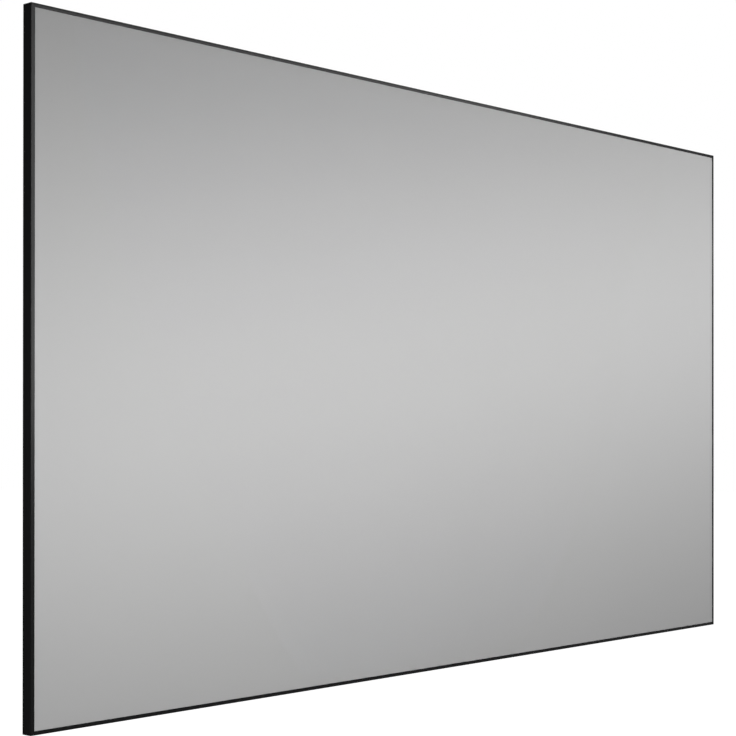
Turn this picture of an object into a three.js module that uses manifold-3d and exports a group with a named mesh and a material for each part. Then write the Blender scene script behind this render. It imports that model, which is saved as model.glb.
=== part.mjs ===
// Fixed frame projector screen, 120 inch diagonal at 16:9, with a thin bezel and a sprung sheet.
//
// Millimetres. +X is to the right seen from the front, the sheet faces -Y and +Z is up. The origin is the
// middle of the whole screen, half way between the bezel's front and the wall.
//
// Every edge of the screen is built in its own coordinates: x runs inward from the bezel's outer face, y runs
// back from the bezel's front face and z runs along the edge from its first corner. Seen from the front, the
// four edges follow each other clockwise, and each is turned a quarter turn about Y from the one before.
import * as THREE from 'three';
import { mergeVertices } from 'three/addons/utils/BufferGeometryUtils.js';
import Module from 'manifold-3d';

const wasm = await Module();
wasm.setup();

// Driving dimensions: the whole screen
const VIEW_WIDTH = 2657;
const VIEW_HEIGHT = 1494;
const BEZEL = 9;
const FRAME_DEPTH = 29.5;
const WALL_GAP = 1.5;
const CLEARANCE = 0.3;
const MITRE_SETBACK = 0.2;

// Driving dimensions: bezel trim
const TRIM_WALL = 1.5;
const TRIM_LIP = 1.2;
const TRIM_BACK_LIP = 6;
const TRIM_EDGE_RADIUS = 0.8;

// Driving dimensions: sheet and edge sleeve
const SHEET = 0.6;
const SEAM_COVER = 2;
const NOTCH_WIDTH = 14;
const ROD_FREE_CORNER = 62;

// Driving dimensions: rail extrusion
const RAIL_WALL = 1.6;
const RAIL_EDGE_RADIUS = 1.2;
const NOSE_WIDTH = 3;
const NOSE_HEIGHT = 2;
const CHAMBER_WIDTH = 16;
const SLOT_WIDTH = 24.3;
const SLOT_LIP = 3;
const SLOT_LIP_THICKNESS = 1.4;
const SLOT_HEADROOM = 0.8;
const HOOK_GROOVE = 4.5;
const HANG_LIP = 5.3;
const HANG_PLAY = 0.7;

// Driving dimensions: tension rods and springs
const ROD_RADIUS = 2;
const ROD_OFFSET = 4.6;
const ROD_OVERHANG = 4;
const SPRING_PITCH = 250;
const COIL_RADIUS = 2.35;
const COIL_TURNS = 4;
const WIRE_RADIUS = 0.5;
const COIL_START = 4.2;
const COIL_END = 2;
const HOOK_BEND = 1.2;
const HOOK_DEPTH = 7;

// Driving dimensions: joining plates
const PLATE_THICKNESS = 2.5;
const PLATE_CORNER = 2;
const CORNER_ARM = 110;
const SPLICE_LENGTH = 160;
const SET_SCREW_HOLE = 5.2;
const SET_SCREW_EDGE = 12;
const SET_SCREW_PITCH = 45;

// Driving dimensions: centre support bar and its connectors
const BAR_WIDTH = 25;
const BAR_DEPTH = 10.4;
const BAR_WALL = 1.4;
const BAR_CORNER = 1.5;
const EAR_WIDTH = 46;
const EAR_THICKNESS = 3;
const TONGUE_LENGTH = 28;
const TONGUE_TAPER = 1;

// Driving dimensions: wall brackets
const BRACKET_WIDTH = 60;
const BRACKET_THICKNESS = 2;
const BRACKET_DROP = 42;
const BRACKET_BEND = 1;
const BRACKET_UPTURN = 4.2;
const BRACKET_OFFSET = 800;
const SCREW_SLOT_WIDTH = 5.5;
const SCREW_SLOT_LENGTH = 14;
const SCREW_SLOT_PITCH = 34;

// Sizes that follow: the whole screen
const WIDTH = VIEW_WIDTH + 2 * BEZEL;
const HEIGHT = VIEW_HEIGHT + 2 * BEZEL;
const TOTAL_DEPTH = FRAME_DEPTH + WALL_GAP;

// Sizes that follow: how far in each piece lies from the bezel's outer face
const SLEEVE_OUTER = TRIM_WALL + CLEARANCE;
const RAIL_OUTER = SLEEVE_OUTER + SHEET + CLEARANCE;
const CHAMBER_INNER = RAIL_OUTER + CHAMBER_WIDTH;
const ROD_X = CHAMBER_INNER + ROD_OFFSET;
const RIB_OUTER = CHAMBER_INNER + SLOT_WIDTH;
const RIB_INNER = RIB_OUTER + RAIL_WALL;
const RAIL_INNER = RIB_INNER + HOOK_GROOVE + RAIL_WALL;
const HANG_EDGE = RAIL_INNER + HANG_LIP;
const SHEET_EDGE = BEZEL - SEAM_COVER;

// Sizes that follow: how far back each piece lies from the bezel's front face
const SHEET_FRONT = TRIM_LIP + CLEARANCE;
const RAIL_FRONT = SHEET_FRONT + SHEET + CLEARANCE;
const SLEEVE_BACK = FRAME_DEPTH - TRIM_LIP - CLEARANCE;
const RAIL_BACK = SLEEVE_BACK - SHEET - CLEARANCE;
const POCKET_INNER = ROD_RADIUS + CLEARANCE;
const POCKET_OUTER = POCKET_INNER + SHEET;
const ROD_Y = SLEEVE_BACK - POCKET_OUTER;
const TENSION_FRONT = ROD_Y - Math.max(POCKET_OUTER, COIL_RADIUS + WIRE_RADIUS);
const SLOT_LIP_BACK = TENSION_FRONT - SLOT_HEADROOM;
const SLOT_LIP_FRONT = SLOT_LIP_BACK - SLOT_LIP_THICKNESS;
const WEB_BACK = SLOT_LIP_FRONT - PLATE_THICKNESS - 2 * CLEARANCE;
const WEB_FRONT = WEB_BACK - RAIL_WALL;
const BRACKET_FRONT = TOTAL_DEPTH - BRACKET_THICKNESS;
const HANG_BACK = BRACKET_FRONT - HANG_PLAY;
const HANG_FRONT = HANG_BACK - RAIL_WALL;

// Fineness of the rounded forms: half the facets in a quarter turn, sides and the spring wire's steps
const SECTION_ARC_STEPS = 1;
const PLATE_ARC_STEPS = 1;
const ROD_SIDES = 8;
const WIRE_SIDES = 3;
const WIRE_STEP = 2.45;

// The four edges in the order in which they follow each other, with the pieces that each rail is cut into
const EDGES = [
  { name: 'left', length: HEIGHT, corner: [-1, -1], parts: ['left'] },
  { name: 'top', length: WIDTH, corner: [-1, 1], parts: ['top_left', 'top_right'] },
  { name: 'right', length: HEIGHT, corner: [1, 1], parts: ['right'] },
  { name: 'bottom', length: WIDTH, corner: [1, -1], parts: ['bottom_right', 'bottom_left'] },
];

// Finishes
const BLACK_ANODISED = { color: 0x1b1b1c, roughness: 0.42, metalness: 0.6 };
const BARE_ALUMINIUM = { color: 0xa9abad, roughness: 0.38, metalness: 0.9 };
const GREY_SHEET = { color: 0xb4b4b4, roughness: 0.62, metalness: 0 };
const BLACK_FILM = { color: 0x161616, roughness: 0.7, metalness: 0 };
const ZINC_STEEL = { color: 0x9b9da0, roughness: 0.35, metalness: 0.9 };
const BLACK_STEEL = { color: 0x202021, roughness: 0.5, metalness: 0.5 };

function piece(name, geometry, finish) {
  const mesh = new THREE.Mesh(geometry, new THREE.MeshStandardMaterial(finish));
  mesh.name = name;
  return mesh;
}

// Closed solid of a geometry, for joining and cutting
function solidOf(geometry) {
  const bare = geometry.clone();
  bare.deleteAttribute('normal');
  bare.deleteAttribute('uv');
  const merged = mergeVertices(bare, 1e-4);
  return new wasm.Manifold(new wasm.Mesh({
    numProp: 3,
    vertProperties: new Float32Array(merged.attributes.position.array),
    triVerts: new Uint32Array(merged.index.array),
  }));
}

function geometryOf(solid) {
  const mesh = solid.getMesh();
  const geometry = new THREE.BufferGeometry();
  geometry.setAttribute('position', new THREE.BufferAttribute(mesh.vertProperties, 3));
  geometry.setIndex(new THREE.BufferAttribute(mesh.triVerts, 1));
  geometry.computeVertexNormals();
  return geometry;
}

// Adds an arc to an outline as equal arcs of at most a quarter turn
function addArc(path, x, y, radius, from, to) {
  const count = Math.ceil(Math.abs(to - from) / (Math.PI / 2) - 1e-6);
  const turn = (to - from) / count;
  for (let i = 0; i < count; i += 1) {
    path.absarc(x, y, radius, from + i * turn, from + (i + 1) * turn, turn < 0);
  }
}

// Outline through corners given as [x, y, radius], each corner rounded to its radius
function roundedOutline(corners, path = new THREE.Shape()) {
  corners.forEach(([x, y, radius = 0], i) => {
    const here = new THREE.Vector2(x, y);
    const [beforeX, beforeY] = corners.at(i - 1);
    const [afterX, afterY] = corners[(i + 1) % corners.length];
    const toBefore = new THREE.Vector2(beforeX, beforeY).sub(here).normalize();
    const toAfter = new THREE.Vector2(afterX, afterY).sub(here).normalize();
    const halfAngle = Math.acos(THREE.MathUtils.clamp(toBefore.dot(toAfter), -1, 1)) / 2;
    const tangent = radius / Math.tan(halfAngle);
    const arrive = here.clone().addScaledVector(toBefore, tangent);
    const leave = here.clone().addScaledVector(toAfter, tangent);
    if (i === 0) path.moveTo(arrive.x, arrive.y);
    else path.lineTo(arrive.x, arrive.y);
    if (radius > 0) {
      const bisector = toBefore.clone().add(toAfter).normalize();
      const centre = here.clone().addScaledVector(bisector, radius / Math.sin(halfAngle));
      const from = Math.atan2(arrive.y - centre.y, arrive.x - centre.x);
      const turn = Math.PI - 2 * halfAngle;
      const direction = toBefore.cross(toAfter) > 0 ? -1 : 1;
      addArc(path, centre.x, centre.y, radius, from, from + direction * turn);
    }
  });
  path.closePath();
  return path;
}

function rectangle(x0, y0, x1, y1, radius = 0) {
  return [[x0, y0, radius], [x1, y0, radius], [x1, y1, radius], [x0, y1, radius]];
}

// Section of an edge piece, swept along the edge and cut at each end either square or on the mitre
function edgeSweep(section, part) {
  const geometry = new THREE.ExtrudeGeometry(section, {
    depth: part.to - part.from,
    steps: 1,
    bevelEnabled: false,
    curveSegments: SECTION_ARC_STEPS,
  });
  geometry.translate(0, 0, part.from);
  const position = geometry.attributes.position;
  const middle = (part.from + part.to) / 2;
  for (let i = 0; i < position.count; i += 1) {
    const lean = position.getX(i) + MITRE_SETBACK;
    const z = position.getZ(i);
    if (z < middle && part.mitredStart) position.setZ(i, z + lean);
    if (z > middle && part.mitredEnd) position.setZ(i, z - lean);
  }
  return geometry;
}

// Plate from an outline in the edge's x and z, lying between two depths
function flatPlate(outline, front, thickness) {
  const geometry = new THREE.ExtrudeGeometry(outline, {
    depth: thickness,
    steps: 1,
    bevelEnabled: false,
    curveSegments: PLATE_ARC_STEPS,
  });
  geometry.rotateX(Math.PI / 2);
  geometry.translate(0, front + thickness, 0);
  return geometry;
}

// The pieces that an edge is cut into, along its length
function partsOf(edge) {
  const share = edge.length / edge.parts.length;
  return edge.parts.map((name, i) => ({
    name,
    from: i === 0 ? 0 : i * share + CLEARANCE / 2,
    to: i === edge.parts.length - 1 ? edge.length : (i + 1) * share - CLEARANCE / 2,
    mitredStart: i === 0,
    mitredEnd: i === edge.parts.length - 1,
  }));
}

// Bezel trim: C section pushed on from outside, with a narrow lip in front and one behind
function trimSection() {
  return roundedOutline([
    [0, 0, TRIM_EDGE_RADIUS],
    [BEZEL, 0, TRIM_LIP / 3],
    [BEZEL, TRIM_LIP],
    [TRIM_WALL, TRIM_LIP],
    [TRIM_WALL, FRAME_DEPTH - TRIM_LIP],
    [TRIM_BACK_LIP, FRAME_DEPTH - TRIM_LIP],
    [TRIM_BACK_LIP, FRAME_DEPTH],
    [0, FRAME_DEPTH, TRIM_EDGE_RADIUS],
  ]);
}

// Rail: box chamber with a raised nose, T slot, spring rib, inner wall and hanging lip
function railSection() {
  const wallBack = RAIL_FRONT + NOSE_HEIGHT + RAIL_WALL;
  const section = roundedOutline([
    [RAIL_OUTER, RAIL_FRONT, RAIL_EDGE_RADIUS],
    [RAIL_OUTER + NOSE_WIDTH, RAIL_FRONT, RAIL_WALL / 2],
    [RAIL_OUTER + NOSE_WIDTH, RAIL_FRONT + NOSE_HEIGHT],
    [CHAMBER_INNER, RAIL_FRONT + NOSE_HEIGHT],
    [CHAMBER_INNER, WEB_FRONT],
    [RAIL_INNER, WEB_FRONT, RAIL_WALL / 2],
    [RAIL_INNER, HANG_FRONT],
    [HANG_EDGE, HANG_FRONT],
    [HANG_EDGE, HANG_BACK],
    [RAIL_INNER - RAIL_WALL, HANG_BACK],
    [RAIL_INNER - RAIL_WALL, WEB_BACK],
    [RIB_INNER, WEB_BACK],
    [RIB_INNER, ROD_Y],
    [RIB_OUTER, ROD_Y],
    [RIB_OUTER, SLOT_LIP_BACK],
    [RIB_OUTER - SLOT_LIP, SLOT_LIP_BACK],
    [RIB_OUTER - SLOT_LIP, SLOT_LIP_FRONT],
    [RIB_OUTER, SLOT_LIP_FRONT],
    [RIB_OUTER, WEB_BACK],
    [CHAMBER_INNER, WEB_BACK],
    [CHAMBER_INNER, SLOT_LIP_FRONT],
    [CHAMBER_INNER + SLOT_LIP, SLOT_LIP_FRONT],
    [CHAMBER_INNER + SLOT_LIP, SLOT_LIP_BACK],
    [CHAMBER_INNER, SLOT_LIP_BACK],
    [CHAMBER_INNER, RAIL_BACK, RAIL_EDGE_RADIUS],
    [RAIL_OUTER, RAIL_BACK, RAIL_EDGE_RADIUS],
  ]);
  section.holes.push(roundedOutline(
    rectangle(RAIL_OUTER + RAIL_WALL, wallBack, CHAMBER_INNER - RAIL_WALL, RAIL_BACK - RAIL_WALL),
    new THREE.Path(),
  ));
  return section;
}

// Edge sleeve: from its seam with the sheet round the rail's outer face, ending in the rod pocket
function sleeveSection() {
  const innerX = SLEEVE_OUTER + SHEET;
  const innerFront = SHEET_FRONT + SHEET;
  const innerBack = SLEEVE_BACK - SHEET;
  const bend = RAIL_EDGE_RADIUS + CLEARANCE;
  const section = new THREE.Shape();
  section.moveTo(SHEET_EDGE - CLEARANCE, SHEET_FRONT);
  section.lineTo(SHEET_EDGE - CLEARANCE, innerFront);
  section.lineTo(innerX + bend, innerFront);
  addArc(section, innerX + bend, innerFront + bend, bend, 1.5 * Math.PI, Math.PI);
  addArc(section, innerX + bend, innerBack - bend, bend, Math.PI, Math.PI / 2);
  const meet = Math.PI - Math.asin(POCKET_INNER / POCKET_OUTER);
  addArc(section, ROD_X, ROD_Y, POCKET_OUTER, meet, 2.5 * Math.PI);
  addArc(section, innerX + bend, innerBack - bend, bend + SHEET, Math.PI / 2, Math.PI);
  addArc(section, innerX + bend, innerFront + bend, bend + SHEET, Math.PI, 1.5 * Math.PI);
  const pocket = new THREE.Path();
  addArc(pocket, ROD_X, ROD_Y, POCKET_INNER, 0, 2 * Math.PI);
  section.holes.push(pocket);
  return section;
}

// Where the springs stand along an edge piece, evenly spaced between the ends of its rod
function springStations(part) {
  const [start, end] = rodEnds(part);
  const count = Math.max(1, Math.round((end - start) / SPRING_PITCH));
  const step = (end - start) / count;
  return Array.from({ length: count }, (_, i) => start + (i + 0.5) * step);
}

function rodEnds(part) {
  const fromCorner = ROD_FREE_CORNER - ROD_OVERHANG;
  return [
    part.from + (part.mitredStart ? fromCorner : CLEARANCE),
    part.to - (part.mitredEnd ? fromCorner : CLEARANCE),
  ];
}

// Cuts away the pocket between two places along the edge, leaving the sleeve's flat part
function pocketCut(from, to) {
  const margin = 1;
  const width = ROD_X + POCKET_OUTER + margin - (ROD_X - POCKET_OUTER - CLEARANCE);
  const depth = 2 * POCKET_OUTER + 2 * margin;
  const cut = new THREE.BoxGeometry(width, depth, to - from);
  cut.translate(ROD_X - POCKET_OUTER - CLEARANCE + width / 2, ROD_Y, (from + to) / 2);
  return solidOf(cut);
}

function sleeveGeometry(edge) {
  const whole = { from: 0, to: edge.length, mitredStart: true, mitredEnd: true };
  let sleeve = solidOf(edgeSweep(sleeveSection(), whole));
  sleeve = sleeve.subtract(pocketCut(0, ROD_FREE_CORNER));
  sleeve = sleeve.subtract(pocketCut(edge.length - ROD_FREE_CORNER, edge.length));
  for (const station of partsOf(edge).flatMap(springStations)) {
    sleeve = sleeve.subtract(pocketCut(station - NOTCH_WIDTH / 2, station + NOTCH_WIDTH / 2));
  }
  return geometryOf(sleeve);
}

// Curve that turns a spoke about an axis while it moves along that axis: an arc or a helix
class Turn extends THREE.Curve {
  constructor(centre, spoke, axis, angle, advance = 0) {
    super();
    Object.assign(this, { centre, spoke, axis, angle, advance });
  }

  getPoint(t, target = new THREE.Vector3()) {
    return target.copy(this.spoke)
      .applyAxisAngle(this.axis, this.angle * t)
      .addScaledVector(this.axis, this.advance * t)
      .add(this.centre);
  }
}

// Wire of one extension spring: a hook round the rod, the coil, and a hook down behind the spring rib
function springPath(z) {
  const inward = new THREE.Vector3(1, 0, 0);
  const along = new THREE.Vector3(0, 0, 1);
  const at = (x, y) => new THREE.Vector3(x, y, z);
  const hookRadius = ROD_RADIUS + WIRE_RADIUS / 5;
  const coilFrom = ROD_X + COIL_START;
  const coilTo = RIB_OUTER - COIL_END;
  const wireBack = ROD_Y + COIL_RADIUS;
  const hookX = RIB_INNER + CLEARANCE + WIRE_RADIUS;
  const path = new THREE.CurvePath();
  path.add(new Turn(at(ROD_X, ROD_Y), new THREE.Vector3(0, -hookRadius, 0), along, -Math.PI));
  path.add(new THREE.LineCurve3(at(ROD_X, ROD_Y + hookRadius), at(coilFrom, wireBack)));
  path.add(new Turn(at(coilFrom, ROD_Y), new THREE.Vector3(0, COIL_RADIUS, 0), inward,
    COIL_TURNS * 2 * Math.PI, coilTo - coilFrom));
  path.add(new THREE.LineCurve3(at(coilTo, wireBack), at(hookX - HOOK_BEND, wireBack)));
  path.add(new Turn(at(hookX - HOOK_BEND, wireBack - HOOK_BEND), new THREE.Vector3(0, HOOK_BEND, 0),
    along, -Math.PI / 2));
  path.add(new THREE.LineCurve3(at(hookX, wireBack - HOOK_BEND), at(hookX, wireBack - HOOK_DEPTH)));
  return path;
}

function wireSection() {
  const section = new THREE.Shape();
  for (let i = 0; i < WIRE_SIDES; i += 1) {
    const angle = (i * 2 * Math.PI) / WIRE_SIDES;
    const corner = [WIRE_RADIUS * Math.cos(angle), WIRE_RADIUS * Math.sin(angle)];
    if (i === 0) section.moveTo(...corner);
    else section.lineTo(...corner);
  }
  section.closePath();
  return section;
}

function springGeometry(z) {
  const path = springPath(z);
  return new THREE.ExtrudeGeometry(wireSection(), {
    steps: Math.round(path.getLength() / WIRE_STEP),
    bevelEnabled: false,
    extrudePath: path,
  });
}

// Tension rod with the springs that hook on it
function tensionRodGeometry(part) {
  const [start, end] = rodEnds(part);
  const rod = new THREE.CylinderGeometry(ROD_RADIUS, ROD_RADIUS, end - start, ROD_SIDES);
  rod.rotateX(Math.PI / 2);
  rod.translate(ROD_X, ROD_Y, (start + end) / 2);
  let joined = solidOf(rod);
  for (const station of springStations(part)) {
    joined = joined.add(solidOf(springGeometry(station)));
  }
  return geometryOf(joined);
}

function screwHole(x, z) {
  const hole = new THREE.Path();
  addArc(hole, x, z, SET_SCREW_HOLE / 2, 0, 2 * Math.PI);
  return hole;
}

// Corner plate: an L that lies in the T slots of two edges and is held by two set screws in each arm
function cornerPlateGeometry() {
  const outer = CHAMBER_INNER + CLEARANCE;
  const inner = RIB_OUTER - CLEARANCE;
  const middle = (outer + inner) / 2;
  const outline = roundedOutline([
    [outer, outer, PLATE_CORNER],
    [CORNER_ARM, outer, PLATE_CORNER],
    [CORNER_ARM, inner, PLATE_CORNER],
    [inner, inner],
    [inner, CORNER_ARM, PLATE_CORNER],
    [outer, CORNER_ARM, PLATE_CORNER],
  ]);
  for (const reach of [CORNER_ARM - SET_SCREW_EDGE, CORNER_ARM - SET_SCREW_EDGE - SET_SCREW_PITCH]) {
    outline.holes.push(screwHole(reach, middle), screwHole(middle, reach));
  }
  return flatPlate(outline, WEB_BACK + CLEARANCE, PLATE_THICKNESS);
}

// Splice plate: a straight plate in the T slot, across the joint between two rail halves
function splicePlateGeometry(edge) {
  const outer = CHAMBER_INNER + CLEARANCE;
  const inner = RIB_OUTER - CLEARANCE;
  const centre = edge.length / 2;
  const half = SPLICE_LENGTH / 2;
  const outline = roundedOutline(rectangle(outer, centre - half, inner, centre + half, PLATE_CORNER));
  for (const reach of [half - SET_SCREW_EDGE, half - SET_SCREW_EDGE - SET_SCREW_PITCH]) {
    outline.holes.push(
      screwHole((outer + inner) / 2, centre - reach),
      screwHole((outer + inner) / 2, centre + reach),
    );
  }
  return flatPlate(outline, WEB_BACK + CLEARANCE, PLATE_THICKNESS);
}

// Depth at which the support bar's front lies, centred on the rail's inner wall
function barFront() {
  return (WEB_FRONT + HANG_FRONT - BAR_DEPTH) / 2;
}

// Connector: ears against the rail's inner wall and a tapered tongue that fills the hollow bar
function barConnectorGeometry(edge) {
  const centre = edge.length / 2;
  const base = RAIL_INNER + CLEARANCE;
  const neck = base + EAR_THICKNESS;
  const tip = neck + TONGUE_LENGTH;
  const halfEar = EAR_WIDTH / 2;
  const halfTongue = BAR_WIDTH / 2 - BAR_WALL - CLEARANCE;
  const outline = roundedOutline([
    [base, centre - halfEar],
    [neck, centre - halfEar, EAR_THICKNESS / 2],
    [neck, centre - halfTongue],
    [tip - TONGUE_TAPER, centre - halfTongue],
    [tip, centre - halfTongue + TONGUE_TAPER],
    [tip, centre + halfTongue - TONGUE_TAPER],
    [tip - TONGUE_TAPER, centre + halfTongue],
    [neck, centre + halfTongue],
    [neck, centre + halfEar, EAR_THICKNESS / 2],
    [base, centre + halfEar],
  ]);
  const wall = BAR_WALL + CLEARANCE;
  return flatPlate(outline, barFront() + wall, BAR_DEPTH - 2 * wall);
}

// Support bar: rounded hollow section between the two connectors
function supportBarGeometry() {
  const end = RAIL_INNER + EAR_THICKNESS + 2 * CLEARANCE;
  const half = BAR_WIDTH / 2;
  const section = roundedOutline(rectangle(-half, 0, half, BAR_DEPTH, BAR_CORNER));
  section.holes.push(roundedOutline(
    rectangle(BAR_WALL - half, BAR_WALL, half - BAR_WALL, BAR_DEPTH - BAR_WALL),
    new THREE.Path(),
  ));
  return edgeSweep(section, { from: end, to: HEIGHT - end });
}

// Slot for a wall screw, through the bracket's plate
function screwSlot(x, z, alongEdge) {
  const radius = SCREW_SLOT_WIDTH / 2;
  const halfX = alongEdge ? radius : SCREW_SLOT_LENGTH / 2;
  const halfZ = alongEdge ? SCREW_SLOT_LENGTH / 2 : radius;
  const outline = roundedOutline(rectangle(x - halfX, z - halfZ, x + halfX, z + halfZ, radius));
  return solidOf(flatPlate(outline, BRACKET_FRONT - CLEARANCE, BRACKET_THICKNESS + 2 * CLEARANCE));
}

// Wall bracket: folded J whose trough holds the rail's hanging lip, with two slots for wall screws
function wallBracketGeometry(centre, slotsAlongEdge) {
  const floor = HANG_EDGE + CLEARANCE;
  const floorUnder = floor + BRACKET_THICKNESS;
  const foot = floor + BRACKET_DROP;
  const upturnBack = HANG_FRONT - CLEARANCE;
  const upturnFront = upturnBack - BRACKET_THICKNESS;
  const outerBend = BRACKET_BEND + BRACKET_THICKNESS;
  const section = roundedOutline([
    [floor - BRACKET_UPTURN, upturnFront],
    [floorUnder, upturnFront, outerBend],
    [floorUnder, BRACKET_FRONT, BRACKET_BEND],
    [foot, BRACKET_FRONT],
    [foot, TOTAL_DEPTH],
    [floor, TOTAL_DEPTH, outerBend],
    [floor, upturnBack, BRACKET_BEND],
    [floor - BRACKET_UPTURN, upturnBack],
  ]);
  const part = { from: centre - BRACKET_WIDTH / 2, to: centre + BRACKET_WIDTH / 2 };
  let bracket = solidOf(edgeSweep(section, part));
  const slotX = (floorUnder + foot + BRACKET_BEND) / 2;
  for (const side of [-1, 1]) {
    bracket = bracket.subtract(screwSlot(slotX, centre + (side * SCREW_SLOT_PITCH) / 2, slotsAlongEdge));
  }
  return geometryOf(bracket);
}

// Sheet: one flat plate between the four seams
function sheetMesh() {
  const sheet = piece(
    'projection_sheet',
    new THREE.BoxGeometry(WIDTH - 2 * SHEET_EDGE, SHEET, HEIGHT - 2 * SHEET_EDGE),
    GREY_SHEET,
  );
  sheet.position.set(0, SHEET_FRONT + SHEET / 2 - TOTAL_DEPTH / 2, 0);
  return sheet;
}

// One edge of the frame, with the corner plate at its first corner
function edgeGroup(edge, index) {
  const group = new THREE.Group();
  const [cornerX, cornerZ] = edge.corner;
  group.position.set((cornerX * WIDTH) / 2, -TOTAL_DEPTH / 2, (cornerZ * HEIGHT) / 2);
  group.rotation.y = (index * Math.PI) / 2;
  for (const part of partsOf(edge)) {
    group.add(piece(`bezel_trim_${part.name}`, edgeSweep(trimSection(), part), BLACK_ANODISED));
    group.add(piece(`frame_rail_${part.name}`, edgeSweep(railSection(), part), BARE_ALUMINIUM));
    group.add(piece(`tension_rod_${part.name}`, tensionRodGeometry(part), ZINC_STEEL));
  }
  group.add(piece(`edge_sleeve_${edge.name}`, sleeveGeometry(edge), BLACK_FILM));
  group.add(piece(`corner_plate_${index + 1}`, cornerPlateGeometry(), ZINC_STEEL));
  return group;
}

// What only the top and bottom edges carry: the splice plate, the bar connector and two wall brackets
function addLongEdgePieces(group, edge) {
  const isTop = edge.name === 'top';
  group.add(piece(`splice_plate_${edge.name}`, splicePlateGeometry(edge), ZINC_STEEL));
  group.add(piece(`bar_connector_${edge.name}`, barConnectorGeometry(edge), BLACK_STEEL));
  edge.parts.forEach((name, i) => {
    const centre = edge.length / 2 + (i === 0 ? -BRACKET_OFFSET : BRACKET_OFFSET);
    group.add(piece(`wall_bracket_${name}`, wallBracketGeometry(centre, isTop), BLACK_STEEL));
  });
}

function supportBarMesh() {
  const bar = piece('support_bar', supportBarGeometry(), BLACK_ANODISED);
  bar.position.set(0, barFront() - TOTAL_DEPTH / 2, -HEIGHT / 2);
  return bar;
}

function projectorScreen() {
  const screen = new THREE.Group();
  screen.add(sheetMesh());
  screen.add(supportBarMesh());
  EDGES.forEach((edge, index) => {
    const group = edgeGroup(edge, index);
    if (edge.parts.length > 1) addLongEdgePieces(group, edge);
    screen.add(group);
  });
  return screen;
}

export default projectorScreen();
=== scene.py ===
"""Fixed frame projection screen: finishes, soft parts, small hardware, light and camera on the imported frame.

Sizes are in millimetres and a mesh is turned into metres as it is made. +X is to the right seen from the
front, the sheet faces -Y, the wall is on +Y and +Z is up.
"""

from __future__ import annotations

import sys

import logging
import math
from dataclasses import dataclass
from enum import Enum
from typing import Any, Sequence

import bpy
import numpy as np
from mathutils import Matrix, Vector

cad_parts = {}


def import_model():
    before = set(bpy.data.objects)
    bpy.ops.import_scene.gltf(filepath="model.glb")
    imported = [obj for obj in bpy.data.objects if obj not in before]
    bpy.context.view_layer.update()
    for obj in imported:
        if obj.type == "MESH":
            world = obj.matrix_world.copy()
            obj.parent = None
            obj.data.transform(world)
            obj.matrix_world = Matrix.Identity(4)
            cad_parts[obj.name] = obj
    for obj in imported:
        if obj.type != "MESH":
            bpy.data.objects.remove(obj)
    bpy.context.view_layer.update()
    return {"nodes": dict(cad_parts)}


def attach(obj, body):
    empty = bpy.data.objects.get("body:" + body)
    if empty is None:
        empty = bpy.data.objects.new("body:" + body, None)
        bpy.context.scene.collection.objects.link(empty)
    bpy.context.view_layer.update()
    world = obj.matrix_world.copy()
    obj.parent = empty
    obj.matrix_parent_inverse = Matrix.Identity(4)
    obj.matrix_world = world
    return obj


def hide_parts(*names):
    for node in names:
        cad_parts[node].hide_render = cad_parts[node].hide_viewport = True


LOG = logging.getLogger("screen")
MM = 0.001
BODY = "root"
UV_MAP = "unrolled"
TINY = 1e-6
WHITE = (1.0, 1.0, 1.0)

Colour = tuple[float, float, float]


class Run(Enum):
    """Direction in which an extruded or drawn piece runs, as an index into X, Y and Z."""

    ACROSS = 0
    UP = 2

    def drawn_out(self, fine: float, along: float) -> list[float]:
        """Scale of a pattern that is fine across the run and drawn out along it.

        Args:
            fine: Repeats for each metre across the run.
            along: Repeats for each metre along the run.

        Returns:
            The scale on each axis.
        """
        scale = [fine] * 3
        scale[self.value] = along
        return scale


# Shader graph: numbers as Python expressions, and one method for any other node.


class Wire:
    """A number that a node gives out, on which Python's operators add Math nodes."""

    def __init__(self, graph: Graph, socket: bpy.types.NodeSocket) -> None:
        """Keeps the graph and the output socket that carries the number."""
        self.graph = graph
        self.socket = socket

    def __add__(self, other: Wire | float) -> Wire:
        """Sum."""
        return self.graph.math("ADD", self, other)

    def __radd__(self, other: float) -> Wire:
        """Sum with the plain number first."""
        return self.graph.math("ADD", other, self)

    def __sub__(self, other: Wire | float) -> Wire:
        """Difference."""
        return self.graph.math("SUBTRACT", self, other)

    def __rsub__(self, other: float) -> Wire:
        """Difference with the plain number first."""
        return self.graph.math("SUBTRACT", other, self)

    def __mul__(self, other: Wire | float) -> Wire:
        """Product."""
        return self.graph.math("MULTIPLY", self, other)

    def __rmul__(self, other: float) -> Wire:
        """Product with the plain number first."""
        return self.graph.math("MULTIPLY", other, self)

    def __abs__(self) -> Wire:
        """Size without its sign."""
        return self.graph.math("ABSOLUTE", self)

    def sine(self) -> Wire:
        """Sine of the number in radians."""
        return self.graph.math("SINE", self)

    def highest(self, other: Wire | float) -> Wire:
        """The greater of the two."""
        return self.graph.math("MAXIMUM", self, other)

    def ramp(self, low: float, high: float) -> Wire:
        """Rises smoothly from 0 at low to 1 at high.

        Args:
            low: The value that gives 0.
            high: The value that gives 1.

        Returns:
            The eased number, held from 0 to 1.
        """
        node = self.graph.node(
            "ShaderNodeMapRange",
            {"interpolation_type": "SMOOTHSTEP"},
            {"Value": self, "From Min": low, "From Max": high},
        )
        return Wire(self.graph, node.outputs[0])


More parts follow.
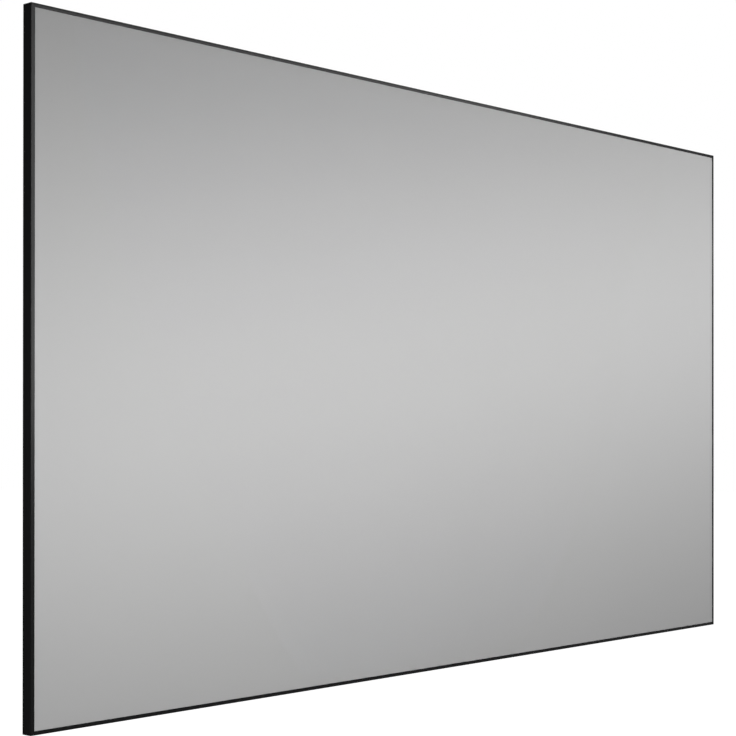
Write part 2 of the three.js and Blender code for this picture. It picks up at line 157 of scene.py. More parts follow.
class Graph:
    """The nodes of one material."""

    def __init__(self, tree: bpy.types.NodeTree) -> None:
        """Empties the tree and keeps it."""
        self.tree = tree
        tree.nodes.clear()

    def node(
        self,
        kind: str,
        settings: dict[str, Any] | None = None,
        sockets: dict[str | int, Any] | None = None,
    ) -> bpy.types.Node:
        """Adds a node, sets it and then feeds its sockets.

        Args:
            kind: The node's type.
            settings: Its settings by name.
            sockets: Values or links by the name or index of the input.

        Returns:
            The new node.
        """
        made = self.tree.nodes.new(kind)
        for name, value in (settings or {}).items():
            setattr(made, name, value)
        for key, value in (sockets or {}).items():
            self.feed(made.inputs[key], value)
        return made

    def feed(self, socket: bpy.types.NodeSocket, value: Any) -> None:
        """Links a wire or an output to the socket, or sets its constant.

        Args:
            socket: The input that is fed.
            value: A wire, an output socket, a number, a vector or a colour.
        """
        if isinstance(value, Wire):
            self.tree.links.new(value.socket, socket)
        elif isinstance(value, bpy.types.NodeSocket):
            self.tree.links.new(value, socket)
        elif socket.type == "RGBA":
            socket.default_value = (*value, 1.0)
        else:
            socket.default_value = value

    def math(self, operation: str, *values: Wire | float) -> Wire:
        """Adds one Math node over numbers or wires."""
        made = self.node("ShaderNodeMath", {"operation": operation}, dict(enumerate(values)))
        return Wire(self, made.outputs[0])

    def place(self, scale: Sequence[float] = (1.0, 1.0, 1.0)) -> bpy.types.NodeSocket:
        """Object coordinates, scaled along X, Y and Z.

        Args:
            scale: Factor on each axis, in repeats of a metre.

        Returns:
            The vector socket.
        """
        coordinates = self.node("ShaderNodeTexCoord")
        scaled = self.node(
            "ShaderNodeVectorMath", {"operation": "MULTIPLY"}, {0: coordinates.outputs["Object"], 1: scale}
        )
        return scaled.outputs[0]

    def unrolled(self) -> tuple[Wire, Wire]:
        """Reads the piece's own UV map, which unrolls its surface.

        Returns:
            The places across and along, in metres.
        """
        uv = self.node("ShaderNodeUVMap", {"uv_map": UV_MAP})
        parts = self.node("ShaderNodeSeparateXYZ", None, {0: uv.outputs[0]})
        return Wire(self, parts.outputs[0]), Wire(self, parts.outputs[1])

    def noise(
        self, where: bpy.types.NodeSocket, scale: float, detail: float = 2.0, rough: float = 0.5
    ) -> Wire:
        """Soft noise between 0 and 1 about 0.5.

        Args:
            where: The coordinates that it reads.
            scale: Repeats for each unit of the coordinates.
            detail: Octaves.
            rough: Share that each finer octave keeps.

        Returns:
            The noise as a number.
        """
        sockets = {"Vector": where, "Scale": scale, "Detail": detail, "Roughness": rough}
        return Wire(self, self.node("ShaderNodeTexNoise", None, sockets).outputs[0])

    def cells(self, where: bpy.types.NodeSocket, scale: float) -> Wire:
        """Distance to the nearest of scattered points, in cells."""
        made = self.node("ShaderNodeTexVoronoi", None, {"Vector": where, "Scale": scale})
        return Wire(self, made.outputs[0])

    def between(
        self, share: Wire | float, first: Colour | bpy.types.NodeSocket, second: Colour
    ) -> bpy.types.NodeSocket:
        """Mixes two colours.

        Args:
            share: 0 gives the first colour and 1 the second.
            first: Linear colour, or the socket that gives it.
            second: Linear colour.

        Returns:
            The colour socket.
        """
        mixed = self.node(
            "ShaderNodeMix", {"data_type": "RGBA", "clamp_factor": True}, {0: share, 6: first, 7: second}
        )
        return mixed.outputs[2]

    def relief(self, height: Wire, depth: float, strength: float = 1.0) -> bpy.types.NodeSocket:
        """Turns a height into a bent normal.

        Args:
            height: The height, in units of depth.
            depth: What a height of 1 measures, in metres.
            strength: Share of the relief that shows.

        Returns:
            The normal socket.
        """
        bump = self.node("ShaderNodeBump", None, {"Height": height, "Distance": depth, "Strength": strength})
        return bump.outputs[0]

    def looked_at(self) -> Wire:
        """Tells what the picture shows from what only lights it.

        Returns:
            1 for a ray from the camera, in a reflection or through something clear, else 0.
        """
        path = self.node("ShaderNodeLightPath")
        seen = Wire(self, path.outputs["Is Camera Ray"])
        for ray in ("Is Glossy Ray", "Is Transmission Ray"):
            seen = seen.highest(Wire(self, path.outputs[ray]))
        return seen

    def surface(self, **sockets: Any) -> None:
        """Adds the surface shader and its output.

        Args:
            **sockets: The shader's inputs by name, with underscores for the spaces.
        """
        named = {name.replace("_", " "): value for name, value in sockets.items()}
        shader = self.node("ShaderNodeBsdfPrincipled", None, named)
        self.node("ShaderNodeOutputMaterial", None, {0: shader.outputs[0]})


def new_graph(name: str) -> tuple[bpy.types.Material, Graph]:
    """Makes an empty material.

    Args:
        name: The material's name.

    Returns:
        The material and its graph.
    """
    material = bpy.data.materials.new(name)
    material.use_nodes = True
    return material, Graph(material.node_tree)


# Finishes, each with the material that it makes.


@dataclass(frozen=True)
class Finish:
    """A finish that makes its material once and hands it out."""

    name: str

    def paint(self, graph: Graph) -> None:
        """Fills a new material's graph. Each finish has its own way."""
        raise NotImplementedError

    def material(self) -> bpy.types.Material:
        """Makes the finish's material on first use.

        Returns:
            The material.
        """
        found = bpy.data.materials.get(self.name)
        if found is None:
            found, graph = new_graph(self.name)
            self.paint(graph)
        return found


@dataclass(frozen=True)
class GreyFilm(Finish):
    """Matte grey front film of the sheet, cast with a faint grain and hardly any mottling."""

    name: str = "grey_film"
    grey: float = 0.468
    mottle: float = 0.006
    gloss: float = 0.01

    def paint(self, graph: Graph) -> None:
        """Broad mottling in the colour and a grain of a millimetre and less in the relief.

        Args:
            graph: The graph of the new material.
        """
        cloud = graph.noise(graph.place(), 2.6, 3.0)
        grain = graph.noise(graph.place(), 900.0, 3.0, 0.6)
        fine = graph.cells(graph.place(), 1600.0)
        low, high = self.grey - self.mottle, self.grey + self.mottle
        graph.surface(
            Base_Color=graph.between(cloud * 0.8 + grain * 0.2, (low, low, low), (high, high, high)),
            Roughness=0.58 + 0.06 * cloud,
            Specular_IOR_Level=self.gloss,
            Normal=graph.relief(grain + fine * 0.5, 0.00003, 0.5),
        )


@dataclass(frozen=True)
class BlackBacking(Finish):
    """Light-stopping black back of the sheet, with a calendered leather-like grain."""

    name: str = "black_backing"
    dark: float = 0.007

    def paint(self, graph: Graph) -> None:
        """Creased cells of 0.7 mm, with long faint bands from the calender roll.

        Args:
            graph: The graph of the new material.
        """
        cell = graph.cells(graph.place(), 1400.0)
        band = graph.noise(graph.place((0.4, 1.0, 9.0)), 1.0, 3.0)
        cloud = graph.noise(graph.place(), 5.0, 4.0)
        pale = self.dark * 2.8
        graph.surface(
            Base_Color=graph.between(cloud * 0.4 + cell * 0.6, (self.dark,) * 3, (pale, pale, pale * 1.04)),
            Roughness=0.5 + 0.16 * band,
            Specular_IOR_Level=0.2,
            Normal=graph.relief(cell, 0.00012, 0.8),
        )


@dataclass(frozen=True)
class WovenBand(Finish):
    """Black woven edge band, with the ribbed weld of its pocket flap."""

    name: str = "woven_band"
    thread: float = 0.0008
    weld_pitch: float = 0.0024
    weld_from: float = 0.0
    weld_to: float = 0.0
    weld_fade: float = 0.0006

    def paint(self, graph: Graph) -> None:
        """Plain weave: warp and weft swap on top from thread to thread; the weld presses ribs over it.

        Args:
            graph: The graph of the new material.
        """
        across, along = graph.unrolled()
        turn = math.pi / self.thread
        weave = (across * turn).sine() * (along * turn).sine()
        warp = abs((across * (turn * 0.5)).sine())
        weft = abs((along * (turn * 0.5)).sine())
        entry = across.ramp(self.weld_from, self.weld_from + self.weld_fade)
        weld = entry * (1 - across.ramp(self.weld_to - self.weld_fade, self.weld_to))
        rib = 0.5 + 0.5 * (along * (2 * math.pi / self.weld_pitch)).sine()
        fuzz = graph.noise(graph.place(), 420.0, 4.0, 0.7)
        cloth = (0.5 + 0.5 * weave) * 0.5 + (warp + weft) * 0.25
        height = cloth * (1 - 0.75 * weld) + rib * weld * 1.6
        graph.surface(
            Base_Color=graph.between(cloth * 0.6 + fuzz * 0.4, (0.004, 0.004, 0.0045), (0.036, 0.036, 0.038)),
            Roughness=0.72 - 0.26 * weld + 0.1 * fuzz,
            Specular_IOR_Level=0.35,
            Normal=graph.relief(height, 0.00022, 1.0),
        )


@dataclass(frozen=True)
class BlackAnodised(Finish):
    """Satin black anodised aluminium, brushed along the run, with an optional pale strip on the outer edges
    that is partly rubbed wear and partly a painted highlight.
    """

    name: str = "black_anodised_across"
    run: Run = Run.ACROSS
    dark: float = 0.009
    gloss: float = 0.02
    satin: float = 0.29
    wear_and_highlight_at: tuple[float, ...] = ()
    wear_and_highlight_width: float = 0.0006
    # Colour of the strip: bare metal where worn, and a painted highlight of the rounded edge.
    bare: Colour = (0.07, 0.07, 0.072)

    def paint(self, graph: Graph) -> None:
        """Lines are noise drawn out along the run; the rub is a pale strip at given places round the section,
        partly wear and partly a painted highlight.

        Args:
            graph: The graph of the new material.
        """
        line = graph.noise(graph.place(self.run.drawn_out(2600.0, 12.0)), 1.0, 3.0, 0.6)
        cloud = graph.noise(graph.place(), 14.0, 3.0)
        speck = graph.noise(graph.place(), 2200.0, 2.0)
        # Pale strip along the outer edges, broken up by noise: partly rubbed wear, partly a painted highlight
        # on the rounded edge.
        rub: Wire | float = 0.0
        if self.wear_and_highlight_at:
            across, _ = graph.unrolled()
            for place in self.wear_and_highlight_at:
                strip = 1 - abs(across - place).ramp(self.wear_and_highlight_width * 0.3, self.wear_and_highlight_width)
                rub = strip + rub
            rub = rub * graph.noise(graph.place(), 160.0, 4.0, 0.7).ramp(0.5, 0.72)
        tint = line * 0.5 + cloud * 0.3 + speck * 0.2
        pale = self.dark * 1.7
        base = graph.between(tint, (self.dark * 0.8,) * 3, (pale, pale, pale * 1.05))
        if self.wear_and_highlight_at:
            # The bare colour mixed in along the strip is partly wear and partly a painted highlight.
            base = graph.between(rub * 0.5, base, self.bare)
        graph.surface(
            Base_Color=base,
            Roughness=self.satin + 0.1 * line + 0.05 * cloud,
            Specular_IOR_Level=self.gloss,
            Normal=graph.relief(line + speck * 0.4, 0.000012, 0.5),
        )


@dataclass(frozen=True)
class MillAluminium(Finish):
    """Bare extruded aluminium, with die lines along the run and dull stains from handling."""

    name: str = "mill_aluminium_across"
    run: Run = Run.ACROSS
    pale: Colour = (0.50, 0.51, 0.52)

    def paint(self, graph: Graph) -> None:
        """Coarse and fine die lines are noise drawn out along the run; stains are broad soft noise.

        Args:
            graph: The graph of the new material.
        """
        coarse = graph.noise(graph.place(self.run.drawn_out(420.0, 0.6)), 1.0, 2.0)
        fine = graph.noise(graph.place(self.run.drawn_out(3000.0, 3.0)), 1.0, 3.0, 0.65)
        stain = graph.noise(graph.place(), 16.0, 4.0, 0.6).ramp(0.35, 0.7)
        line = coarse * 0.5 + fine * 0.5
        dull = tuple(0.72 * part for part in self.pale)
        graph.surface(
            Base_Color=graph.between(line * 0.55 + stain * 0.45, dull, self.pale),
            Metallic=1.0,
            Roughness=0.32 + 0.16 * line + 0.08 * stain,
            Normal=graph.relief(line, 0.00003, 0.6),
        )


@dataclass(frozen=True)
class ZincPlate(Finish):
    """Zinc-plated sheet steel: bluish pale patches and a fine rolled grain."""

    name: str = "zinc_plate"

    def paint(self, graph: Graph) -> None:
        """Patches from cells of 3 mm and noise; fine grain in the relief.

        Args:
            graph: The graph of the new material.
        """
        cell = graph.cells(graph.place(), 300.0)
        cloud = graph.noise(graph.place(), 60.0, 4.0, 0.6)
        grain = graph.noise(graph.place(), 2400.0, 2.0)
        graph.surface(
            Base_Color=graph.between(cell * 0.4 + cloud * 0.6, (0.36, 0.37, 0.39), (0.54, 0.56, 0.59)),
            Metallic=1.0,
            Roughness=0.26 + 0.22 * cloud,
            Normal=graph.relief(grain + cloud, 0.00002, 0.5),
        )


@dataclass(frozen=True)
class SpringWire(Finish):
    """Bright drawn spring wire, nickel plated."""

    name: str = "spring_wire"

    def paint(self, graph: Graph) -> None:
        """Drawing lines along the wire's own length, from its unrolled map.

        Args:
            graph: The graph of the new material.
        """
        across, along = graph.unrolled()
        vector = graph.node("ShaderNodeCombineXYZ", None, {0: across * 9000.0, 1: along * 60.0})
        line = graph.noise(vector.outputs[0], 1.0, 2.0)
        cloud = graph.noise(graph.place(), 240.0, 3.0)
        graph.surface(
            Base_Color=graph.between(line * 0.5 + cloud * 0.5, (0.40, 0.40, 0.39), (0.66, 0.66, 0.64)),
            Metallic=1.0,
            Roughness=0.2 + 0.18 * line,
            Normal=graph.relief(line, 0.00001, 0.5),
        )


@dataclass(frozen=True)
class GlassRod(Finish):
    """Pultruded glass-fibre rod: off-white resin with fibres that run along it."""

    name: str = "glass_rod_across"
    run: Run = Run.ACROSS

    def paint(self, graph: Graph) -> None:
        """Fibres are noise drawn out along the rod, seen in the colour and as a slight relief.

        Args:
            graph: The graph of the new material.
        """
        fibre = graph.noise(graph.place(self.run.drawn_out(2400.0, 8.0)), 1.0, 3.0, 0.6)
        cloud = graph.noise(graph.place(), 30.0, 3.0)
        graph.surface(
            Base_Color=graph.between(fibre * 0.6 + cloud * 0.4, (0.52, 0.50, 0.42), (0.78, 0.77, 0.70)),
            Roughness=0.34 + 0.16 * fibre,
            Specular_IOR_Level=0.5,
            Normal=graph.relief(fibre, 0.00003, 0.6),
        )


@dataclass(frozen=True)
class PowderCoat(Finish):
    """Black powder-coated steel with a fine orange peel."""

    name: str = "powder_coat"
    dark: float = 0.018

    def paint(self, graph: Graph) -> None:
        """Peel of 1.5 mm and speckle of a third of a millimetre.

        Args:
            graph: The graph of the new material.
        """
        peel = graph.noise(graph.place(), 650.0, 2.0)
        speckle = graph.noise(graph.place(), 3000.0, 2.0)
        cloud = graph.noise(graph.place(), 25.0, 3.0)
        pale = self.dark * 1.8
        graph.surface(
            Base_Color=graph.between(cloud * 0.5 + speckle * 0.5, (self.dark,) * 3, (pale,) * 3),
            Roughness=0.42 + 0.12 * peel,
            Specular_IOR_Level=0.45,
            Normal=graph.relief(peel + speckle * 0.25, 0.00012, 0.8),
        )


@dataclass(frozen=True)
class MouldedNylon(Finish):
    """Black glass-filled nylon, with a spark-eroded mould texture and faint flow marks."""

    name: str = "moulded_nylon"

    def paint(self, graph: Graph) -> None:
        """Texture of half a millimetre; flow marks are noise that is drawn out.

        Args:
            graph: The graph of the new material.
        """
        spark = graph.noise(graph.place(), 1800.0, 3.0, 0.7)
        flow = graph.noise(graph.place((60.0, 60.0, 240.0)), 1.0, 3.0)
        graph.surface(
            Base_Color=graph.between(flow * 0.5 + spark * 0.5, (0.012, 0.012, 0.012), (0.036, 0.036, 0.037)),
            Roughness=0.4 + 0.2 * flow,
            Specular_IOR_Level=0.45,
            Normal=graph.relief(spark, 0.00004, 0.6),
        )


@dataclass(frozen=True)
class BlackOxide(Finish):
    """Blackened steel of the small screws, rubbed bare where the key turns."""

    name: str = "black_oxide"

    def paint(self, graph: Graph) -> None:
        """Dark brown-black with bright rubbed patches from noise.

        Args:
            graph: The graph of the new material.
        """
        rub = graph.noise(graph.place(), 900.0, 3.0, 0.6).ramp(0.55, 0.8)
        grain = graph.noise(graph.place(), 4000.0, 2.0)
        graph.surface(
            Base_Color=graph.between(rub, (0.035, 0.034, 0.033), (0.28, 0.28, 0.28)),
            Metallic=0.85,
            Roughness=0.36 + 0.14 * grain,
            Normal=graph.relief(grain, 0.00002, 0.5),
        )


# Shapes worked out as whole arrays, and the maker that turns them into meshes.


def rounded_profile(corners: Sequence[Sequence[float]], steps: int) -> np.ndarray:
    """Closed outline through corners, each rounded by an arc.

    The arc's centre lies on the corner's bisector, at radius / sin(half the corner's angle). A point of the
    arc is the centre plus the two radii to its ends, each weighted by the sine of its share of the angle.

    Args:
        corners: Rows of x, y and radius.
        steps: Points on each arc.

    Returns:
        Points of the outline, two columns, without doubled points.
    """
    table = np.asarray(corners, float)
    here, radius = table[:, :2], table[:, 2:3]
    before = np.roll(here, 1, axis=0) - here
    after = np.roll(here, -1, axis=0) - here
    before /= np.linalg.norm(before, axis=1, keepdims=True)
    after /= np.linalg.norm(after, axis=1, keepdims=True)
    half = np.arccos(np.clip((before * after).sum(axis=1, keepdims=True), -1, 1)) / 2
    bisector = before + after
    bisector /= np.linalg.norm(bisector, axis=1, keepdims=True)
    centre = here + bisector * radius / np.sin(half)
    first = here + before * radius / np.tan(half) - centre
    last = here + after * radius / np.tan(half) - centre
    share = np.linspace(0, 1, steps)[None, :, None]
    angle = (np.pi - 2 * half)[:, :, None]
    weights = np.sin((1 - share) * angle), np.sin(share * angle)
    arcs = centre[:, None] + (weights[0] * first[:, None] + weights[1] * last[:, None]) / np.sin(angle)
    points = arcs.reshape(-1, 2)
    return points[np.linalg.norm(points - np.roll(points, 1, axis=0), axis=1) > TINY]


def arc(centre: Sequence[float], radius: float, start: float, end: float, steps: int) -> np.ndarray:
    """Points centre + radius * (cos, sin) of an angle that goes evenly from start to end, in degrees.

    Args:
        centre: The arc's centre.
        radius: The arc's radius.
        start: First angle.
        end: Last angle.
        steps: Number of points.

    Returns:
        Points, two columns.
    """
    angle = np.radians(np.linspace(start, end, steps))
    return np.asarray(centre, float) + radius * np.stack([np.cos(angle), np.sin(angle)], axis=1)


def path_length(points: np.ndarray) -> np.ndarray:
    """Length along a line of points up to each of them, along axis 0."""
    return np.concatenate([[0.0], np.cumsum(np.linalg.norm(np.diff(points, axis=0), axis=1))])


def enclosed(points: np.ndarray) -> float:
    """Volume in a tube with a lid on each end, below zero where its faces point inwards.

    Each triangle spans a sixth of its corners' triple product from the tube's middle, and these are summed.

    Args:
        points: Rows x columns x 3, where the last row joins the first.

    Returns:
        The volume.
    """
    here = points - points.mean(axis=(0, 1))
    after = np.roll(here, -1, axis=0)
    sides = np.cross(here[:, :-1], here[:, 1:]) * after[:, 1:]
    sides += np.cross(here[:, :-1], after[:, 1:]) * after[:, :-1]
    first = np.cross(here[:, 0], after[:, 0]) * here[:, 0].mean(axis=0)
    last = np.cross(after[:, -1], here[:, -1]) * here[:, -1].mean(axis=0)
    return float(sides.sum() + first.sum() + last.sum()) / 6


class MeshMaker:
    """Collects grids of points and end faces, and makes one mesh object of them."""

    def __init__(self, name: str) -> None:
        """Starts an empty mesh.

        Args:
            name: The name of the mesh and of its object.
        """
        self.name = name
        self.points: list[np.ndarray] = []
        self.faces: list[np.ndarray] = []
        self.maps: list[np.ndarray] = []
        self.kinds: list[np.ndarray] = []
        self.count = 0

    def grid(
        self,
        points: np.ndarray,
        ring: bool = False,
        unrolled: np.ndarray | None = None,
        keep: np.ndarray | None = None,
        kind: int | np.ndarray = 0,
    ) -> np.ndarray:
        """Adds a surface over a grid of points, one four-sided face for each cell.

        Args:
            points: Rows x columns x 3, in millimetres.
            ring: Whether the last row joins the first.
            unrolled: UV of each grid point, with one more row where the rows are a ring.
            keep: Which cells have a face.
            kind: Index of the material, for all cells or for each row of them.

        Returns:
            The index of each grid point in the mesh.
        """
        rows, columns = points.shape[:2]
        index = self.count + np.arange(rows * columns).reshape(rows, columns)
        closed = np.concatenate([index, index[:1]]) if ring else index
        corners = np.stack([closed[:-1, :-1], closed[:-1, 1:], closed[1:, 1:], closed[1:, :-1]], axis=-1)
        wanted = np.ones(corners.shape[:2], bool) if keep is None else keep
        uv = np.zeros((*closed.shape, 2)) if unrolled is None else unrolled
        maps = np.stack([uv[:-1, :-1], uv[:-1, 1:], uv[1:, 1:], uv[1:, :-1]], axis=2)
        self.points.append(points.reshape(-1, 3))
        self.count += rows * columns
        self.faces.append(corners[wanted])
        self.maps.append(maps[wanted])
        self.kinds.append(np.broadcast_to(np.reshape(kind, (-1, 1)), wanted.shape)[wanted])
        return index

    def lid(self, ring: np.ndarray) -> None:
        """Adds one face over a ring of mesh points, with the first material.

        Args:
            ring: Indices of the ring's points, in order.
        """
        self.faces.append(ring[None])
        self.maps.append(np.zeros((1, len(ring), 2)))
        self.kinds.append(np.zeros(1, int))

    def tube(
        self, points: np.ndarray, unrolled: np.ndarray | None = None, kind: int | np.ndarray = 0
    ) -> None:
        """Adds a closed tube, a grid whose rows are a ring, with a lid at each end and its faces outwards.

        Args:
            points: Rows x columns x 3, in millimetres.
            unrolled: UV of each grid point, with one more row than the points.
            kind: Index of the material, for all cells or for each row of them.
        """
        if enclosed(points) < 0:
            points = points[:, ::-1]
            unrolled = None if unrolled is None else unrolled[:, ::-1]
        index = self.grid(points, ring=True, unrolled=unrolled, kind=kind)
        self.lid(index[:, 0])
        self.lid(index[::-1, -1])

    def build(
        self,
        materials: Sequence[bpy.types.Material],
        sharp: float = 35.0,
        solid: bool = True,
        weld: bool = False,
    ) -> bpy.types.Object:
        """Makes the object. A closed mesh whose faces point inwards is turned by the sign of its volume.

        Args:
            materials: Materials by the index that the faces carry.
            sharp: Angle in degrees past which an edge stays sharp.
            solid: Whether the mesh is closed.
            weld: Whether points in the same place become one.

        Returns:
            The object, at the origin, unturned and unscaled.
        """
        points = np.concatenate(self.points) * MM
        sizes = np.concatenate([np.full(len(f), f.shape[1]) for f in self.faces])
        loops = np.concatenate([f.reshape(-1) for f in self.faces])
        maps = np.concatenate([m.reshape(-1, 2) for m in self.maps])
        if weld:
            places = np.round(points / TINY)
            _, first, joined = np.unique(places, axis=0, return_index=True, return_inverse=True)
            points, loops = points[first], joined.reshape(-1)[loops]
        mesh = bpy.data.meshes.new(self.name)
        mesh.vertices.add(len(points))
        mesh.vertices.foreach_set("co", points.astype(np.float32).reshape(-1))
        mesh.loops.add(len(loops))
        mesh.loops.foreach_set("vertex_index", loops.astype(np.int32))
        mesh.polygons.add(len(sizes))
        starts = np.concatenate([[0], np.cumsum(sizes)[:-1]])
        mesh.polygons.foreach_set("loop_start", starts.astype(np.int32))
        mesh.polygons.foreach_set("material_index", np.concatenate(self.kinds).astype(np.int32))
        layer = mesh.uv_layers.new(name=UV_MAP)
        layer.data.foreach_set("uv", maps.astype(np.float32).reshape(-1))
        mesh.update(calc_edges=True)
        if solid and signed_volume(mesh) < 0:
            mesh.flip_normals()
        mesh.shade_smooth()
        mesh.set_sharp_from_angle(angle=math.radians(sharp))
        for material in materials:
            mesh.materials.append(material)
        obj = bpy.data.objects.new(self.name, mesh)
        bpy.context.scene.collection.objects.link(obj)
        return obj


def signed_volume(mesh: bpy.types.Mesh) -> float:
    """Volume inside a closed mesh: a sixth of the sum of each triangle's triple product.

    Args:
        mesh: The mesh.

    Returns:
        The volume, below 0 where the faces point inwards.
    """
    mesh.calc_loop_triangles()
    corner = np.zeros(len(mesh.loop_triangles) * 3, np.int32)
    mesh.loop_triangles.foreach_get("vertices", corner)
    points = np.zeros(len(mesh.vertices) * 3, np.float32)
    mesh.vertices.foreach_get("co", points)
    a, b, c = np.moveaxis(points.reshape(-1, 3)[corner.reshape(-1, 3)].astype(float), 1, 0)
    return float((a * np.cross(b, c)).sum() / 6)


def screw_surface(ring_table: np.ndarray, sides: int) -> np.ndarray:
    """Rings about an axis, each round or hexagonal.

    The radius of a hexagonal ring at an angle is its apothem / cos(angle from the nearest flat's middle), and
    a ring blends from round to hexagonal by its third column.

    Args:
        ring_table: Rows of radius, height and share of hexagon.
        sides: Points on a ring, a multiple of six.

    Returns:
        Angles x rings x 3: two columns across the axis and the height along it.
    """
    angle = np.linspace(0, 2 * np.pi, sides, endpoint=False)[:, None]
    radius, height, share = ring_table.T
    from_flat = (angle + np.pi / 6) % (np.pi / 3) - np.pi / 6
    reach = radius * (1 - share + share / np.cos(from_flat))
    return np.stack([reach * np.cos(angle), reach * np.sin(angle), height + 0 * angle], axis=-1)


def thicken(obj: bpy.types.Object, thickness: float, offset: float = 0.0) -> bpy.types.Modifier:
    """Gives a surface a wall.

    Args:
        obj: The surface.
        thickness: The wall's thickness, in millimetres.
        offset: -1 for a wall behind the faces, 0 for one about their middle.

    Returns:
        The modifier.
    """
    wall = obj.modifiers.new("thickness", "SOLIDIFY")
    wall.thickness = thickness * MM
    wall.offset = offset
    return wall


def dress(obj: bpy.types.Object, slot: str, stands_for: Sequence[str] = ()) -> bpy.types.Object:
    """Puts a finished piece on the frame.

    Args:
        obj: The piece.
        slot: The record's material slot.
        stands_for: CAD nodes that it replaces.

    Returns:
        The piece.
    """
    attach(obj, BODY)
    if stands_for:
        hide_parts(*stands_for)
    LOG.info("piece %s: %d points, slot %s", obj.name, len(obj.data.vertices), slot)
    return obj


def repaint(nodes: dict[str, bpy.types.Object], names: Sequence[str], finish: Finish) -> None:
    """Gives carried-over CAD nodes a finish.

    Args:
        nodes: The frame's CAD nodes by name.
        names: The nodes that are painted.
        finish: Their finish.
    """
    for name in names:
        mesh = nodes[name].data
        mesh.materials.clear()
        mesh.materials.append(finish.material())
        LOG.info("node %s: finish %s", name, finish.name)


# The screen's edges, which most pieces follow.


@dataclass(frozen=True)
class Part:
    """A stretch of an edge that one rail, trim and rod cover."""

    name: str
    start: float
    end: float
    mitred_start: bool
    mitred_end: bool


@dataclass(frozen=True)
class Edge:
    """One edge of the screen, with coordinates of its own: inward, back from the bezel's front and along."""

    name: str
    length: float
    corner: tuple[float, float]
    inward: tuple[float, float]
    along: tuple[float, float]
    run: Run
    parts: tuple[Part, ...]

    def place(self, points: np.ndarray, layout: Layout) -> np.ndarray:
        """Carries points from the edge's own coordinates to the frame's.

        Args:
            points: Any shape x 3: inward, back and along.
            layout: The screen's sizes.

        Returns:
            The same shape in the frame's X, Y and Z, in millimetres.
        """
        inward, back, along = points[..., 0], points[..., 1], points[..., 2]
        x = self.corner[0] * layout.width / 2 + inward * self.inward[0] + along * self.along[0]
        z = self.corner[1] * layout.height / 2 + inward * self.inward[1] + along * self.along[1]
        return np.stack([x, back - layout.depth / 2, z], axis=-1)


@dataclass(frozen=True)
class Layout:
    """Sizes that more than one sub-assembly needs."""

    width: float = 2675.0
    height: float = 1512.0
    depth: float = 31.0
    gap: float = 0.3
    mitre_setback: float = 0.2
    rod_inset: float = 58.0
    spring_pitch: float = 250.0
    rod_place: tuple[float, float] = (23.3, 25.1)

    def edges(self) -> tuple[Edge, ...]:
        """Lays the four edges out, clockwise seen from the front.

        Returns:
            The left, top, right and bottom edge.
        """
        left, right = self._whole("left"), self._whole("right")
        top, bottom = self._halves("top_left", "top_right"), self._halves("bottom_right", "bottom_left")
        return (
            Edge("left", self.height, (-1, -1), (1, 0), (0, 1), Run.UP, left),
            Edge("top", self.width, (-1, 1), (0, -1), (1, 0), Run.ACROSS, top),
            Edge("right", self.height, (1, 1), (-1, 0), (0, -1), Run.UP, right),
            Edge("bottom", self.width, (1, -1), (0, 1), (-1, 0), Run.ACROSS, bottom),
        )

    def _whole(self, name: str) -> tuple[Part, ...]:
        """One part over the whole of a short edge."""
        return (Part(name, 0.0, self.height, True, True),)

    def _halves(self, first: str, second: str) -> tuple[Part, ...]:
        """Splits a long edge into two parts that meet in its middle.

        Args:
            first: Name of the part at the edge's start.
            second: Name of the part at its end.

        Returns:
            The two parts.
        """
        middle = self.width / 2
        return (
            Part(first, 0.0, middle - self.gap / 2, True, False),
            Part(second, middle + self.gap / 2, self.width, False, True),
        )

    def rod_ends(self, part: Part) -> tuple[float, float]:
        """Finds where the part's tension rod starts and ends.

        Args:
            part: The part.

        Returns:
            The two places along the edge.
        """
        return (
            part.start + (self.rod_inset if part.mitred_start else self.gap),
            part.end - (self.rod_inset if part.mitred_end else self.gap),
        )

    def stations(self, part: Part) -> np.ndarray:
        """Spaces the part's springs evenly along its rod.

        Args:
            part: The part.

        Returns:
            The places of the springs along the edge.
        """
        start, end = self.rod_ends(part)
        count = max(1, round((end - start) / self.spring_pitch))
        return start + (np.arange(count) + 0.5) * (end - start) / count

    def mitred(self, section: np.ndarray, stops: np.ndarray, part: Part) -> np.ndarray:
        """Carries a section along a part and cuts its ends on the mitre.

        A point's place along the edge goes evenly between its two ends, and a mitred end lies further in by
        the point's own distance from the outer face plus the setback.

        Args:
            section: Points, two columns: inward and back.
            stops: Shares of the length at which the section stands, from 0 to 1.
            part: The part.

        Returns:
            Section points x stops x 3, in the edge's own coordinates.
        """
        lean = section[:, :1] + self.mitre_setback
        start = part.start + lean * part.mitred_start
        end = part.end - lean * part.mitred_end
        along = start + (end - start) * stops
        across = np.broadcast_to(section[:, None], (*along.shape, 2))
        return np.concatenate([across, along[..., None]], axis=-1)


# Sub-assemblies, from the front to the wall.


